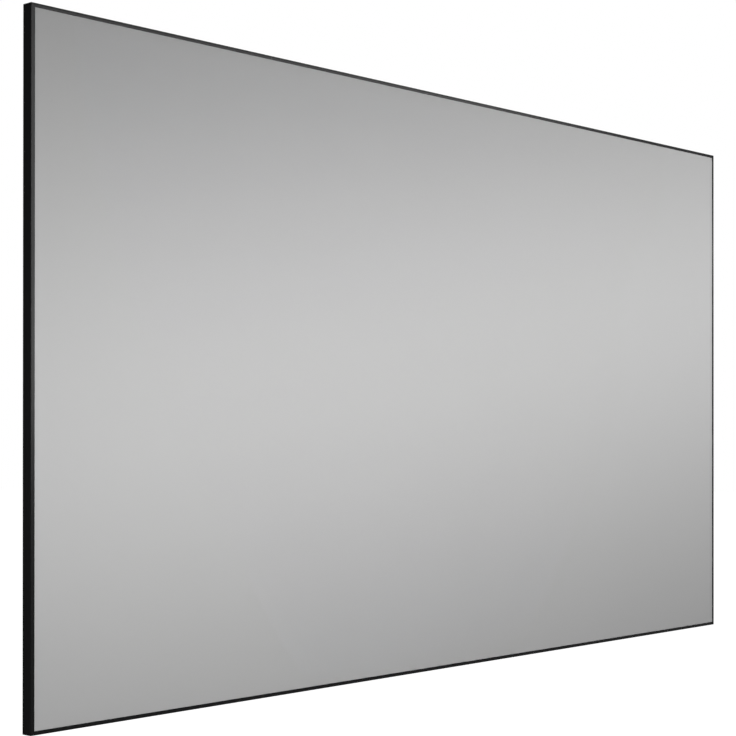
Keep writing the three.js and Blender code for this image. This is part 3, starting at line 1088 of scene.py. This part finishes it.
@dataclass
class ProjectionSheet:
    """The stretched film: grey in front, black behind, flat but for a faint draw towards each spring."""

    layout: Layout
    edge: float = 7.0
    front: float = 1.5
    thickness: float = 0.6
    draw: float = 0.1
    draw_reach: float = 70.0
    columns: int = 150
    rows: int = 90

    def build(self, bands: Sequence[bpy.types.Object], rails: Sequence[str]) -> bpy.types.Object:
        """Args:
            bands: The edge bands that are welded to it. Not used.
            rails: The CAD rails that it is stretched over. Not used.

        Returns:
            The sheet.
        """
        maker = MeshMaker("projection_film")
        maker.grid(self._surface())
        obj = maker.build([GreyFilm().material(), BlackBacking().material()], solid=False)
        wall = thicken(obj, self.thickness, -1.0)
        wall.material_offset = 1
        wall.material_offset_rim = 1
        dress(obj, "sheet_grey", ["projection_sheet"])
        return obj

    def _surface(self) -> np.ndarray:
        """Front face: a flat rectangle with shallow waves at its edges.

        The depth at a point is the draw, times the cosine of its place between two springs, times a bell over
        the distance to the edge that is nil on the edge itself.

        Returns:
            Columns x rows x 3, in millimetres in the frame.
        """
        half_x = self.layout.width / 2 - self.edge
        half_z = self.layout.height / 2 - self.edge
        across = half_x * np.cos(np.linspace(0, np.pi, self.columns))
        up = -half_z * np.cos(np.linspace(0, np.pi, self.rows))
        x, z = np.meshgrid(across, up, indexing="ij")
        from_side = (half_x - np.abs(x)) / self.draw_reach
        from_end = (half_z - np.abs(z)) / self.draw_reach
        pitch = self.layout.spring_pitch
        wave = np.cos(2 * np.pi * x / pitch) * from_end * np.exp(1 - from_end)
        wave += np.cos(2 * np.pi * z / pitch) * from_side * np.exp(1 - from_side)
        y = self.front - self.layout.depth / 2 - self.draw * wave * (from_side > 0) * (from_end > 0)
        return np.stack([x, y, z], axis=-1)


@dataclass
class EdgeBands:
    """Black woven bands, welded to the sheet, that turn round the rail and end in the rod's pocket."""

    layout: Layout
    seam: float = 6.7
    thickness: float = 0.6
    front: float = 1.8
    outer: float = 2.1
    back: float = 27.7
    bend: float = 1.8
    pocket_radius: float = 2.6
    pocket_rise: float = 1.5
    flap_step: float = 0.4
    flap_end: float = 9.5
    flap_back: float = 28.33
    corner_free: float = 62.0
    notch: float = 14.0
    weld_margin: float = 2.0
    fold_steps: int = 7
    pocket_steps: int = 25
    first_mark: float = 100.0
    mark_pitch: float = 50.0
    closest_marks: float = 0.5

    def build(self) -> list[bpy.types.Object]:
        """Makes the four bands.

        Returns:
            The bands, one on each edge.
        """
        return [self._band(edge) for edge in self.layout.edges()]

    def _section(self) -> tuple[np.ndarray, int, int]:
        """Middle line of the band, from the seam round the rail, up and round the rod, and back as a flap.

        Returns:
            Points, two columns; the first point of the pocket; the first point of the flap.
        """
        rod = self.layout.rod_place
        corner = self.outer + self.bend
        rise = self.pocket_rise
        to_pocket = np.concatenate([
            [(self.seam, self.front)],
            arc((corner, self.front + self.bend), self.bend, 270, 180, self.fold_steps),
            arc((corner, self.back - self.bend), self.bend, 180, 90, self.fold_steps),
        ])
        turn_x = rod[0] - self.pocket_radius - rise
        pocket = np.concatenate([
            arc((turn_x, self.back - rise), rise, 90, 0, self.fold_steps),
            arc(rod, self.pocket_radius, 180, 450, self.pocket_steps),
        ])
        share = np.linspace(0, 1, self.fold_steps)[1:, None]
        ease = share * share * (3 - 2 * share)
        slope_from = np.array([rod[0], self.back])
        slope_to = np.array([turn_x - self.flap_step, self.flap_back])
        slope = slope_from + (slope_to - slope_from) * np.concatenate([share, ease], axis=1)
        flap = np.array([[(turn_x + self.flap_end) / 2, self.flap_back], [self.flap_end, self.flap_back]])
        line = np.concatenate([to_pocket, pocket, slope, flap])
        first = len(to_pocket)
        return line, first, first + len(pocket) + len(slope) - 1

    def _band(self, edge: Edge) -> bpy.types.Object:
        """One band: the middle line carried along the edge, with faces left out where a spring hooks in.

        Args:
            edge: The edge.

        Returns:
            The band.
        """
        line, pocket_from, flap_from = self._section()
        stations = np.concatenate([self.layout.stations(part) for part in edge.parts])
        marks = np.sort(np.concatenate([
            stations - self.notch / 2,
            stations + self.notch / 2,
            np.arange(self.first_mark, edge.length - self.first_mark + 1, self.mark_pitch),
            [self.corner_free, edge.length - self.corner_free],
        ]))
        marks = marks[np.concatenate([[True], np.diff(marks) > self.closest_marks])]
        along = np.broadcast_to(marks, (len(line), len(marks)))
        lean = line[:, :1] + self.layout.mitre_setback
        along = np.concatenate([lean, along, edge.length - lean], axis=1)
        across = np.broadcast_to(line[:, None], (*along.shape, 2))
        points = np.concatenate([across, along[..., None]], axis=-1)
        middle = (marks[:-1] + marks[1:]) / 2
        middle = np.concatenate([[0.0], middle, [edge.length]])
        open_here = np.abs(middle[:, None] - stations).min(axis=1) < self.notch / 2
        near_corner = np.minimum(middle, edge.length - middle) < self.corner_free
        cell = np.arange(len(line) - 1)[:, None]
        keep = ~((cell >= pocket_from) & (open_here & (cell < flap_from) | near_corner))
        reach = path_length(line)
        unrolled = np.stack([np.broadcast_to(reach[:, None], along.shape), along], axis=-1) * MM
        maker = MeshMaker(f"edge_band_{edge.name}")
        maker.grid(edge.place(points, self.layout), unrolled=unrolled, keep=keep)
        finish = WovenBand(weld_from=reach[flap_from] * MM, weld_to=(reach[-1] - self.weld_margin) * MM)
        obj = maker.build([finish.material()], solid=False, sharp=60.0)
        thicken(obj, self.thickness)
        return dress(obj, "sleeve_black", [f"edge_sleeve_{edge.name}"])


@dataclass
class BezelTrims:
    """Black C-section trims that are pushed on from outside, mitred in the corners."""

    layout: Layout
    bezel: float = 9.0
    depth: float = 29.5
    wall: float = 1.5
    lip: float = 1.2
    back_lip: float = 6.0
    front_radius: float = 1.6
    back_radius: float = 0.8
    inner_radius: float = 0.6
    lip_radius: float = 0.4
    heel_radius: float = 0.3
    face_depth: float = 0.3
    edge_margin: float = 1.01
    steps: int = 9
    stops: tuple[float, ...] = (0.0, 0.01, 0.25, 0.5, 0.75, 0.99, 1.0)

    def build(self) -> list[bpy.types.Object]:
        """Makes a trim for each part of each edge.

        Returns:
            The trims.
        """
        return [self._trim(edge, part) for edge in self.layout.edges() for part in edge.parts]

    def _section(self) -> np.ndarray:
        """Draws the C section as a rounded outline.

        Returns:
            Points, two columns: inward and back.
        """
        return rounded_profile(
            [
                [0, 0, self.front_radius],
                [self.bezel, 0, self.lip_radius],
                [self.bezel, self.lip, self.lip_radius],
                [self.wall, self.lip, self.inner_radius],
                [self.wall, self.depth - self.lip, self.heel_radius],
                [self.back_lip, self.depth - self.lip, self.lip_radius],
                [self.back_lip, self.depth, self.lip_radius],
                [0, self.depth, self.back_radius],
            ],
            self.steps,
        )

    def _trim(self, edge: Edge, part: Part) -> bpy.types.Object:
        """One trim: the section carried along its part, with a lid on each end.

        The face and its rounded outer edge have a glossier, darker finish than the rest; the rest's lighter
        colour is a painted sheen that stands in for the gloss it lacks.
        A point counts as face where it lies less than the face's depth back, and as edge where inward plus
        back is less than the edge's radius, with a hair's margin. The rub, partly wear and partly a painted
        highlight, lies on the middles of the two outer corners.

        Args:
            edge: The edge.
            part: The stretch of the edge.

        Returns:
            The trim.
        """
        section = self._section()
        points = self.layout.mitred(section, np.array(self.stops), part)
        around = path_length(np.concatenate([section, section[:1]])) * MM
        along = np.concatenate([points[..., 2], points[:1, :, 2]]) * MM
        unrolled = np.stack([np.broadcast_to(around[:, None], along.shape), along], axis=-1)
        maker = MeshMaker(f"trim_{part.name}")
        on_edge = section.sum(axis=1) < self.front_radius * self.edge_margin
        on_front = on_edge | (section[:, 1] < self.face_depth)
        on_front &= np.roll(on_front, -1)
        maker.tube(edge.place(points, self.layout), unrolled=unrolled, kind=on_front.astype(int))
        back_corner = self.depth - self.front_radius - self.back_radius * (1 - math.pi / 4)
        # Strips on the middles of both outer corners: partly wear, partly a painted highlight.
        rub = (self.front_radius * math.pi / 4 * MM, around[-1] - back_corner * MM)
        run = edge.run.name.lower()
        # Side copy: lighter colour and no gloss, its lighter colour being a painted sheen; the face copy below
        # is darker and glossy.
        side = BlackAnodised(f"black_anodised_{run}", edge.run, dark=0.016, gloss=0.0, wear_and_highlight_at=rub)
        front = BlackAnodised(
            f"black_satin_{run}", edge.run, dark=0.006, gloss=0.035, satin=0.18, wear_and_highlight_at=rub
        )
        finished = maker.build([side.material(), front.material()])
        return dress(finished, "bezel_black", [f"bezel_trim_{part.name}"])


@dataclass
class TensionSystem:
    """Glass-fibre rods in the pockets, and the extension springs that pull them towards the rails' ribs."""

    layout: Layout
    rod_radius: float = 2.0
    rod_sides: int = 20
    rod_chamfer: float = 0.5
    wire_radius: float = 0.5
    wire_sides: int = 8
    hook_radius: float = 2.55
    coil_radius: float = 2.35
    coil_from: float = 27.5
    coil_to: float = 41.0
    coil_turns: int = 12
    coil_steps: int = 16
    hook_angles: tuple[float, float] = (-100.0, 90.0)
    hook_steps: int = 26
    run_steps: int = 7
    run_out_steps: int = 4
    bend_steps: int = 8
    lead: float = 0.4
    tail_lead: float = 0.5
    rib_hook: float = 45.4
    rib_bend: float = 1.2
    rib_depth: float = 7.0

    def build(self) -> list[bpy.types.Object]:
        """Makes a rod and its springs for each part of each edge.

        Returns:
            The rods and the sets of springs.
        """
        made = []
        for edge in self.layout.edges():
            for part in edge.parts:
                made.append(self._rod(edge, part))
                made.append(self._springs(edge, part))
        return made

    def _rod(self, edge: Edge, part: Part) -> bpy.types.Object:
        """Rod: a circle carried along the edge, whose radius falls off in a small chamfer at both ends.

        Args:
            edge: The edge.
            part: The stretch of the edge.

        Returns:
            The rod.
        """
        start, end = self.layout.rod_ends(part)
        chamfer = self.rod_chamfer
        along = np.array([start, start + chamfer, (start + end) / 2, end - chamfer, end])
        radius = self.rod_radius - chamfer * np.array([1, 0, 0, 0, 1])
        angle = np.linspace(0, 2 * np.pi, self.rod_sides, endpoint=False)[:, None]
        x, y = self.layout.rod_place
        circle = [x + radius * np.cos(angle), y + radius * np.sin(angle)]
        points = np.stack([*circle, along + 0 * angle], axis=-1)
        maker = MeshMaker(f"rod_{part.name}")
        maker.tube(edge.place(points, self.layout))
        finish = GlassRod(name=f"glass_rod_{edge.run.name.lower()}", run=edge.run)
        return dress(maker.build([finish.material()]), "rod_and_springs", [f"tension_rod_{part.name}"])

    def _wire(self) -> tuple[np.ndarray, np.ndarray]:
        """Middle line of one spring's wire at the station 0, and a direction square to it at each point.

        The wire turns half round the rod, runs to the coil, winds as a helix whose angle and advance grow
        evenly, runs on to the rib and bends down behind it. The line is then averaged over a few points, so
        that it turns softly into and out of the coil.

        Returns:
            Points and directions, each with three columns.
        """
        rod_x, rod_y = self.layout.rod_place
        back = rod_y + self.coil_radius
        rib_turn = self.rib_hook - self.rib_bend
        turn = np.radians(np.linspace(*self.hook_angles, self.hook_steps))
        hook_spoke = np.stack([-np.cos(turn), np.sin(turn)], axis=1)
        hook = np.array([rod_x, rod_y]) + self.hook_radius * hook_spoke
        run_in = np.linspace(
            [rod_x + self.lead, rod_y + self.hook_radius], [self.coil_from - self.lead, back], self.run_steps
        )
        run_out = np.linspace(
            [self.coil_to + self.lead, back], [rib_turn - self.lead, back], self.run_out_steps
        )
        bend_angle = np.radians(np.linspace(90, 0, self.bend_steps))
        bend_spoke = np.stack([np.cos(bend_angle), np.sin(bend_angle)], axis=1)
        bend = np.array([rib_turn, back - self.rib_bend]) + self.rib_bend * bend_spoke
        tail = np.linspace(
            [self.rib_hook, back - self.rib_bend - self.tail_lead],
            [self.rib_hook, back - self.rib_depth],
            self.run_steps,
        )
        angle = np.linspace(0, 2 * np.pi * self.coil_turns, self.coil_turns * self.coil_steps + 1)
        coil_spoke = np.stack([0 * angle, np.cos(angle), np.sin(angle)], axis=1)
        advance = np.linspace([self.coil_from, rod_y, 0.0], [self.coil_to, rod_y, 0.0], len(angle))
        coil = advance + self.coil_radius * coil_spoke
        backwards, inwards = np.array([[0.0, 1.0]]), np.array([[1.0, 0.0]])
        flat = [
            (hook, hook_spoke),
            (run_in, backwards),
            (run_out, backwards),
            (bend, bend_spoke),
            (tail, inwards),
        ]
        pieces = [np.stack([points, spoke + 0 * points]) for points, spoke in flat]
        level = [np.pad(piece, ((0, 0), (0, 0), (0, 1))) for piece in pieces]
        coiled = np.stack([coil, coil_spoke])
        line, spoke = np.concatenate([*level[:2], coiled, *level[2:]], axis=1)
        padded = np.pad(line, ((1, 1), (0, 0)), mode="edge")
        soft = (padded[:-2] + 2 * line + padded[2:]) / 4
        soft[[0, -1]] = line[[0, -1]]
        return soft, spoke

    def _springs(self, edge: Edge, part: Part) -> bpy.types.Object:
        """All springs of one rod: a circle carried along the wire's middle line, once at each station.

        A point of the tube is the middle line's point plus the wire's radius times cos and sin of an angle,
        on the two directions square to the line.

        Args:
            edge: The edge.
            part: The stretch of the edge.

        Returns:
            The springs, as one piece.
        """
        line, spoke = self._wire()
        tangent = np.gradient(line, axis=0)
        tangent /= np.linalg.norm(tangent, axis=1, keepdims=True)
        side = np.cross(tangent, spoke)
        side /= np.linalg.norm(side, axis=1, keepdims=True)
        out = np.cross(side, tangent)
        angle = np.linspace(0, 2 * np.pi, self.wire_sides, endpoint=False)[:, None, None]
        tube = line + self.wire_radius * (np.cos(angle) * out + np.sin(angle) * side)
        length = path_length(line) * MM
        around = np.linspace(0, 2 * math.pi * self.wire_radius, self.wire_sides + 1) * MM
        unrolled = np.stack(np.meshgrid(around, length, indexing="ij"), axis=-1)
        maker = MeshMaker(f"springs_{part.name}")
        for station in self.layout.stations(part):
            maker.tube(edge.place(tube + (0.0, 0.0, station), self.layout), unrolled=unrolled)
        obj = maker.build([SpringWire().material()], sharp=80.0)
        return dress(obj, "rod_and_springs", [f"tension_rod_{part.name}"])


@dataclass
class RailFrame:
    """The aluminium rails with their corner and splice plates, and the grub screws that lock these."""

    layout: Layout
    slot_middle: float = 30.85
    corner_reaches: tuple[float, ...] = (53.0, 98.0)
    splice_reaches: tuple[float, ...] = (-68.0, -23.0, 23.0, 68.0)
    screw_foot: float = 17.0
    screw_top: float = 20.2
    screw_radius: float = 2.5
    socket_across: float = 2.5
    socket_depth: float = 1.7
    screw_sides: int = 24

    def build(self, nodes: dict[str, bpy.types.Object]) -> list[bpy.types.Object]:
        """Paints the rails and plates and adds their screws.

        Args:
            nodes: The frame's CAD nodes.

        Returns:
            The sets of screws.
        """
        for edge in self.layout.edges():
            finish = MillAluminium(name=f"mill_aluminium_{edge.run.name.lower()}", run=edge.run)
            repaint(nodes, [f"frame_rail_{part.name}" for part in edge.parts], finish)
        plates = [name for name in nodes if name.startswith(("corner_plate", "splice_plate"))]
        repaint(nodes, sorted(plates), ZincPlate())
        return [self._edge_screws(edge) for edge in self.layout.edges()]

    def _screw(self) -> np.ndarray:
        """Grub screw with a hexagon socket: rings from its cup point up, over the rim and down the socket.

        Returns:
            Angles x rings x 3: two columns across the screw and one along it.
        """
        apothem = self.socket_across / 2
        table = np.array([
            [self.screw_radius - 1.2, self.screw_foot, 0],
            [self.screw_radius - 0.5, self.screw_foot, 0],
            [self.screw_radius, self.screw_foot + 0.5, 0],
            [self.screw_radius, self.screw_top - 0.3, 0],
            [self.screw_radius - 0.3, self.screw_top, 0],
            [apothem * 1.25, self.screw_top, 0],
            [apothem * 1.02, self.screw_top - 0.2, 1],
            [apothem, self.screw_top - 0.25, 1],
            [apothem, self.screw_top - self.socket_depth, 1],
            [apothem * 0.3, self.screw_top - self.socket_depth - 0.3, 0],
        ])
        return screw_surface(table, self.screw_sides)

    def _edge_screws(self, edge: Edge) -> bpy.types.Object:
        """The screws in the slots of one edge: both corners' arms, and the splice in a long edge.

        Args:
            edge: The edge.

        Returns:
            The screws, as one piece.
        """
        reaches = np.asarray(self.corner_reaches)
        places = [reaches, edge.length - reaches]
        if len(edge.parts) > 1:
            places.append(edge.length / 2 + np.asarray(self.splice_reaches))
        screw = self._screw()
        maker = MeshMaker(f"grub_screws_{edge.name}")
        for along in np.concatenate(places):
            points = screw[..., [0, 2, 1]] + (self.slot_middle, 0.0, along)
            maker.tube(edge.place(points, self.layout))
        return dress(maker.build([BlackOxide().material()]), "plate_steel")


@dataclass
class SupportBar:
    """The middle bar with its two connectors and their button-head screws."""

    layout: Layout
    ear_face: float = 54.0
    ear_screws: tuple[float, float] = (-16.0, 16.0)
    ear_depth: float = 21.0
    bar_back: float = 26.2
    bar_screw_reach: float = 68.0
    head_radius: float = 3.6
    head_height: float = 2.0
    socket_across: float = 2.5
    head_sides: int = 24

    def build(self, nodes: dict[str, bpy.types.Object]) -> list[bpy.types.Object]:
        """Paints the bar and the connectors and adds their screws.

        Args:
            nodes: The frame's CAD nodes.

        Returns:
            The screws at the top and at the bottom.
        """
        finish = BlackAnodised(name="black_anodised_bar", run=Run.UP, dark=0.012, gloss=0.25)
        repaint(nodes, ["support_bar"], finish)
        repaint(nodes, ["bar_connector_top", "bar_connector_bottom"], MouldedNylon())
        return [self._screws(edge) for edge in self.layout.edges() if len(edge.parts) > 1]

    def _head(self) -> np.ndarray:
        """Button head: a low dome over a short rim, with a hexagon socket.

        Returns:
            Angles x rings x 3: two columns across the head and its height.
        """
        radius, height, apothem = self.head_radius, self.head_height, self.socket_across / 2
        table = np.array([
            [radius - 1.2, 0, 0],
            [radius - 0.1, 0, 0],
            [radius, 0.1, 0],
            [radius, 0.45, 0],
            [radius * 0.93, height * 0.55, 0],
            [radius * 0.76, height * 0.86, 0],
            [radius * 0.56, height, 0],
            [apothem * 1.25, height, 0],
            [apothem * 1.02, height - 0.12, 1],
            [apothem, height - 0.2, 1],
            [apothem, height - 1.2, 1],
            [apothem * 0.3, height - 1.4, 0],
        ])
        return screw_surface(table, self.head_sides)

    def _screws(self, edge: Edge) -> bpy.types.Object:
        """Two screws through the connector's ears and one through the back of the bar.

        Args:
            edge: The edge.

        Returns:
            The screws, as one piece.
        """
        head = self._head()
        middle = edge.length / 2
        placed = [
            head[..., [2, 0, 1]] + (self.ear_face, self.ear_depth, middle + offset)
            for offset in self.ear_screws
        ]
        placed.append(head[..., [0, 2, 1]] + (self.bar_screw_reach, self.bar_back, middle))
        maker = MeshMaker(f"bar_screws_{edge.name}")
        for points in placed:
            maker.tube(edge.place(points, self.layout))
        return dress(maker.build([BlackOxide().material()]), "connector_black")


@dataclass
class WallBrackets:
    """The four folded steel brackets, each a flat blank with two slots that is bent to a J."""

    layout: Layout
    width: float = 60.0
    thickness: float = 2.0
    foot: float = 98.3
    first_bend: float = 59.3
    second_bend: float = 55.3
    upturn_end: float = 52.1
    trough_from: float = 28.0
    trough_to: float = 27.4
    bend: float = 2.0
    slot_at: float = 78.8
    slot_pitch: float = 34.0
    slot_length: float = 14.0
    slot_width: float = 5.5
    offset: float = 800.0
    side_cells: int = 24
    rings: tuple[float, ...] = (0.0, 0.12, 0.4, 1.0)
    bend_steps: int = 9
    edge_round: float = 0.3
    round_steps: int = 3
    round_past: float = 50.0

    def build(self) -> list[bpy.types.Object]:
        """Makes two brackets with level slots for the top edge, and two with upright slots for the bottom.

        Returns:
            The brackets.
        """
        made = []
        for edge in self.layout.edges():
            if edge.run is Run.ACROSS:
                for part, shift in zip(edge.parts, (-self.offset, self.offset)):
                    centre = self.layout.width / 2 + shift
                    made.append(self._bracket(edge, part, centre, part.name.startswith("top")))
        return made

    def _slot(self, angle: np.ndarray, lying: bool) -> np.ndarray:
        """Outline of a slot: how far the ray at each angle runs until it meets the slot's edge.

        The ray meets the straight side at radius / sine where that lies short of the end's centre, and else
        the round end at reach x cosine + root(radius squared - (reach x sine) squared).

        Args:
            angle: Angles from the direction of the width.
            lying: Whether the slot's length runs with the width.

        Returns:
            Angles x 2, from the slot's middle.
        """
        radius = self.slot_width / 2
        reach = self.slot_length / 2 - radius
        turned = angle if lying else angle - np.pi / 2
        sine, cosine = np.abs(np.sin(turned)), np.abs(np.cos(turned))
        beside = radius * cosine <= reach * sine
        round_end = reach * cosine + np.sqrt(np.maximum(radius**2 - (reach * sine) ** 2, 0))
        run = np.where(beside, radius / np.maximum(sine, TINY), round_end)
        return np.stack([run * np.cos(angle), run * np.sin(angle)], axis=-1)

    def _cell(self, side: int, lying: bool) -> np.ndarray:
        """One half of the blank's plate, from its slot's edge to its outline.

        Args:
            side: -1 or 1, the half.
            lying: Whether the slot's length runs with the width.

        Returns:
            Around x outwards x 2: across the width, and up from the foot.
        """
        low, high = sorted((0.0, side * self.width / 2))
        top = self.foot - self.first_bend
        corners = np.array([[low, 0.0], [high, 0.0], [high, top], [low, top]])
        step = np.roll(corners, -1, axis=0) - corners
        share = (np.arange(self.side_cells) / self.side_cells)[None, :, None]
        outline = (corners[:, None] + step[:, None] * share).reshape(-1, 2)
        middle = np.array([side * self.slot_pitch / 2, self.foot - self.slot_at])
        away = outline - middle
        slot = middle + self._slot(np.arctan2(away[:, 1], away[:, 0]), lying)
        steps = np.array(self.rings)[None, :, None]
        return slot[:, None] * (1 - steps) + outline[:, None] * steps

    def _fold(self) -> np.ndarray:
        """Middle line of the steel past the plate: a bend, the trough's floor, a bend and the upturn.

        Returns:
            Points x 2: inward and back.
        """
        first = arc((self.first_bend, self.trough_from), self.bend, 90.0, 180.0, self.bend_steps)
        second = arc((self.second_bend, self.trough_to), self.bend, 0.0, -90.0, self.bend_steps)
        end = [[self.upturn_end, self.trough_to - self.bend]]
        return np.concatenate([first, second, end])

    def _bracket(self, edge: Edge, part: Part, centre: float, lying: bool) -> bpy.types.Object:
        """One bracket: the blank's surface, bent, thickened and with its edges rounded.

        Args:
            edge: The edge.
            part: The part of the edge that hangs in it.
            centre: Middle of the bracket along the edge.
            lying: Whether its slots run along the edge.

        Returns:
            The bracket.
        """
        maker = MeshMaker(f"bracket_{part.name}")
        back = self.trough_from + self.bend
        for side in (-1, 1):
            across, up = np.moveaxis(self._cell(side, lying), -1, 0)
            points = np.stack([self.foot - up, np.full_like(up, back), centre + across], axis=-1)
            maker.grid(edge.place(points, self.layout), ring=True)
        fold = self._fold()
        across = np.linspace(-self.width / 2, self.width / 2, 2 * self.side_cells + 1) + centre
        line = np.broadcast_to(fold[:, None], (len(fold), len(across), 2))
        along = np.broadcast_to(across, line.shape[:2])
        maker.grid(edge.place(np.concatenate([line, along[..., None]], axis=-1), self.layout))
        bracket = maker.build([PowderCoat().material()], solid=False, weld=True)
        wall = thicken(bracket, self.thickness)
        wall.use_even_offset = True
        rim = bracket.modifiers.new("rounded_edges", "BEVEL")
        rim.width = self.edge_round * MM
        rim.segments = self.round_steps
        rim.limit_method = "ANGLE"
        rim.angle_limit = math.radians(self.round_past)
        rim.harden_normals = True
        return dress(bracket, "bracket_black", [f"wall_bracket_{part.name}"])


# Lamps, camera, floor and surround.


@dataclass(frozen=True)
class SoftLamp:
    """A rectangular lamp that isn't seen itself."""

    name: str
    place: Sequence[float]
    aim: Sequence[float]
    size: tuple[float, float]
    watts: float
    along: Sequence[float] = (1.0, 0.0, 0.0)
    only_gloss: bool = False

    def build(self) -> bpy.types.Object:
        """Makes the lamp, aimed along its aim, with its long side as near to along as that leaves.

        Returns:
            The lamp's object.
        """
        data = bpy.data.lights.new(self.name, "AREA")
        data.shape = "RECTANGLE"
        data.size, data.size_y = self.size
        data.energy = self.watts
        lamp = bpy.data.objects.new(self.name, data)
        bpy.context.scene.collection.objects.link(lamp)
        back = -Vector(self.aim).normalized()
        side = Vector(self.along)
        side = (side - back * side.dot(back)).normalized()
        turned = Matrix((side, back.cross(side), back)).transposed().to_4x4()
        lamp.matrix_world = Matrix.Translation(self.place) @ turned
        lamp.visible_camera = False
        lamp.visible_diffuse = not self.only_gloss
        return lamp


@dataclass
class Studio:
    """Camera at the photograph's angle, plain lamps, a pale floor and a white surround."""

    eye: tuple[float, float, float] = (-3.43150, -2.87678, -0.11836)
    yaw: float = 47.4703
    pitch: float = 0.1972
    roll: float = 0.0247
    lens: float = 82.648
    sensor: float = 36.0
    nearest: float = 0.05
    farthest: float = 200.0
    frame_pixels: float = 736.0
    axis_pixel: float = 420.63
    floor_level: float = -1.6
    floor_size: float = 60.0
    strip_place: tuple[float, float, float] = (0.906, -1.129, 0.307)
    strip_angles: tuple[float, float, float] = (8.72, 2.54, 10.25)
    strip_size: tuple[float, float] = (6.0, 0.3)
    strip_watts: float = 40.0
    plain_lamps: tuple[SoftLamp, ...] = (
        SoftLamp("bezel_shine", (-0.1, -3.2, 0.85), (0.0, 1.0, 0.0), (9.8, 2.1), 1000.0, only_gloss=True),
        SoftLamp(
            "edge_shine", (-5.0, -1.1, 0.85), (1.0, 0.0, 0.0), (4.2, 2.1), 540.0,
            along=(0.0, 1.0, 0.0), only_gloss=True,
        ),
        SoftLamp("rear_fill", (0.6, 3.2, 1.4), (-0.15, -1.0, -0.42), (4.0, 2.4), 40.0),
    )
    ambient: float = 0.272
    floor_glow: float = 0.88
    floor_pale: float = 0.6

    def build(self) -> None:
        """Makes the camera, the lamps, the floor and the world."""
        self._camera()
        self._lamps()
        self._floor()
        self._world()
        bpy.context.scene.view_settings.view_transform = "Standard"

    def _camera(self) -> None:
        """Makes a nearly level camera, whose upward shift puts its axis on its pixel row."""
        data = bpy.data.cameras.new("camera")
        data.lens = self.lens
        data.sensor_width = self.sensor
        data.shift_y = (self.axis_pixel - self.frame_pixels / 2) / self.frame_pixels
        data.clip_start = self.nearest
        data.clip_end = self.farthest
        camera = bpy.data.objects.new("camera", data)
        turned = Matrix.Rotation(-math.radians(self.yaw), 4, "Z")
        turned = turned @ Matrix.Rotation(math.pi / 2 + math.radians(self.pitch), 4, "X")
        turned = turned @ Matrix.Rotation(math.radians(self.roll), 4, "Z")
        camera.matrix_world = Matrix.Translation(self.eye) @ turned
        bpy.context.scene.collection.objects.link(camera)
        bpy.context.scene.camera = camera

    def _lamps(self) -> None:
        """Makes the long slanting strip in front, two panels for the bezel's shine and the lamp behind."""
        slant, turn, down = (math.radians(angle) for angle in self.strip_angles)
        across = math.cos(slant)
        along = Vector((across * math.cos(turn), -across * math.sin(turn), math.sin(slant)))
        level = Vector((math.sin(turn), math.cos(turn), 0.0))
        aim = level * math.cos(down) - along.cross(level) * math.sin(down)
        strip = SoftLamp("front_strip", self.strip_place, aim, self.strip_size, self.strip_watts, along)
        for lamp in (strip, *self.plain_lamps):
            lamp.build()

    def _floor(self) -> None:
        """Makes a flat pale floor that is open from below and reads as white where no shadow falls."""
        half = self.floor_size / 2
        maker = MeshMaker("floor")
        across = np.linspace(-half, half, 3) / MM
        x, y = np.meshgrid(across, across, indexing="ij")
        maker.grid(np.stack([y, x, np.full_like(x, self.floor_level / MM)], axis=-1))
        material, graph = new_graph("pale_floor")
        seen = graph.looked_at()
        tone = graph.noise(graph.place(), 3.0, 2.0)
        pale = graph.between(tone, (self.floor_pale * 0.99,) * 3, (self.floor_pale * 1.01,) * 3)
        matte = graph.node("ShaderNodeBsdfDiffuse", None, {"Color": pale})
        glow = graph.node("ShaderNodeEmission", None, {"Color": WHITE, "Strength": seen * self.floor_glow})
        lit = graph.node("ShaderNodeAddShader", None, {0: matte.outputs[0], 1: glow.outputs[0]})
        clear = graph.node("ShaderNodeBsdfTransparent")
        side = graph.node("ShaderNodeNewGeometry").outputs["Backfacing"]
        both = graph.node("ShaderNodeMixShader", None, {0: side, 1: lit.outputs[0], 2: clear.outputs[0]})
        graph.node("ShaderNodeOutputMaterial", None, {0: both.outputs[0]})
        maker.build([material], solid=False)

    def _world(self) -> None:
        """Makes a surround that is white where it is seen, and a plain even fill otherwise."""
        world = bpy.data.worlds.new("surround")
        world.use_nodes = True
        graph = Graph(world.node_tree)
        seen = graph.looked_at()
        fill = graph.node("ShaderNodeBackground", None, {"Color": WHITE, "Strength": self.ambient})
        white = graph.node("ShaderNodeBackground", None, {"Color": WHITE, "Strength": 1.0})
        both = graph.node("ShaderNodeMixShader", None, {0: seen, 1: fill.outputs[0], 2: white.outputs[0]})
        graph.node("ShaderNodeOutputWorld", None, {0: both.outputs[0]})
        bpy.context.scene.world = world


def main() -> None:
    """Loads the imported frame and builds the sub-assemblies in order."""
    logging.basicConfig(level=logging.INFO, format="%(name)s: %(message)s", stream=sys.stdout)
    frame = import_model()
    nodes = frame["nodes"]
    layout = Layout()
    Studio().build()
    BezelTrims(layout).build()
    bands = EdgeBands(layout).build()
    ProjectionSheet(layout).build(bands, sorted(name for name in nodes if name.startswith("frame_rail")))
    TensionSystem(layout).build()
    RailFrame(layout).build(nodes)
    SupportBar(layout).build(nodes)
    WallBrackets(layout).build()


if __name__ == "__main__":
    main()
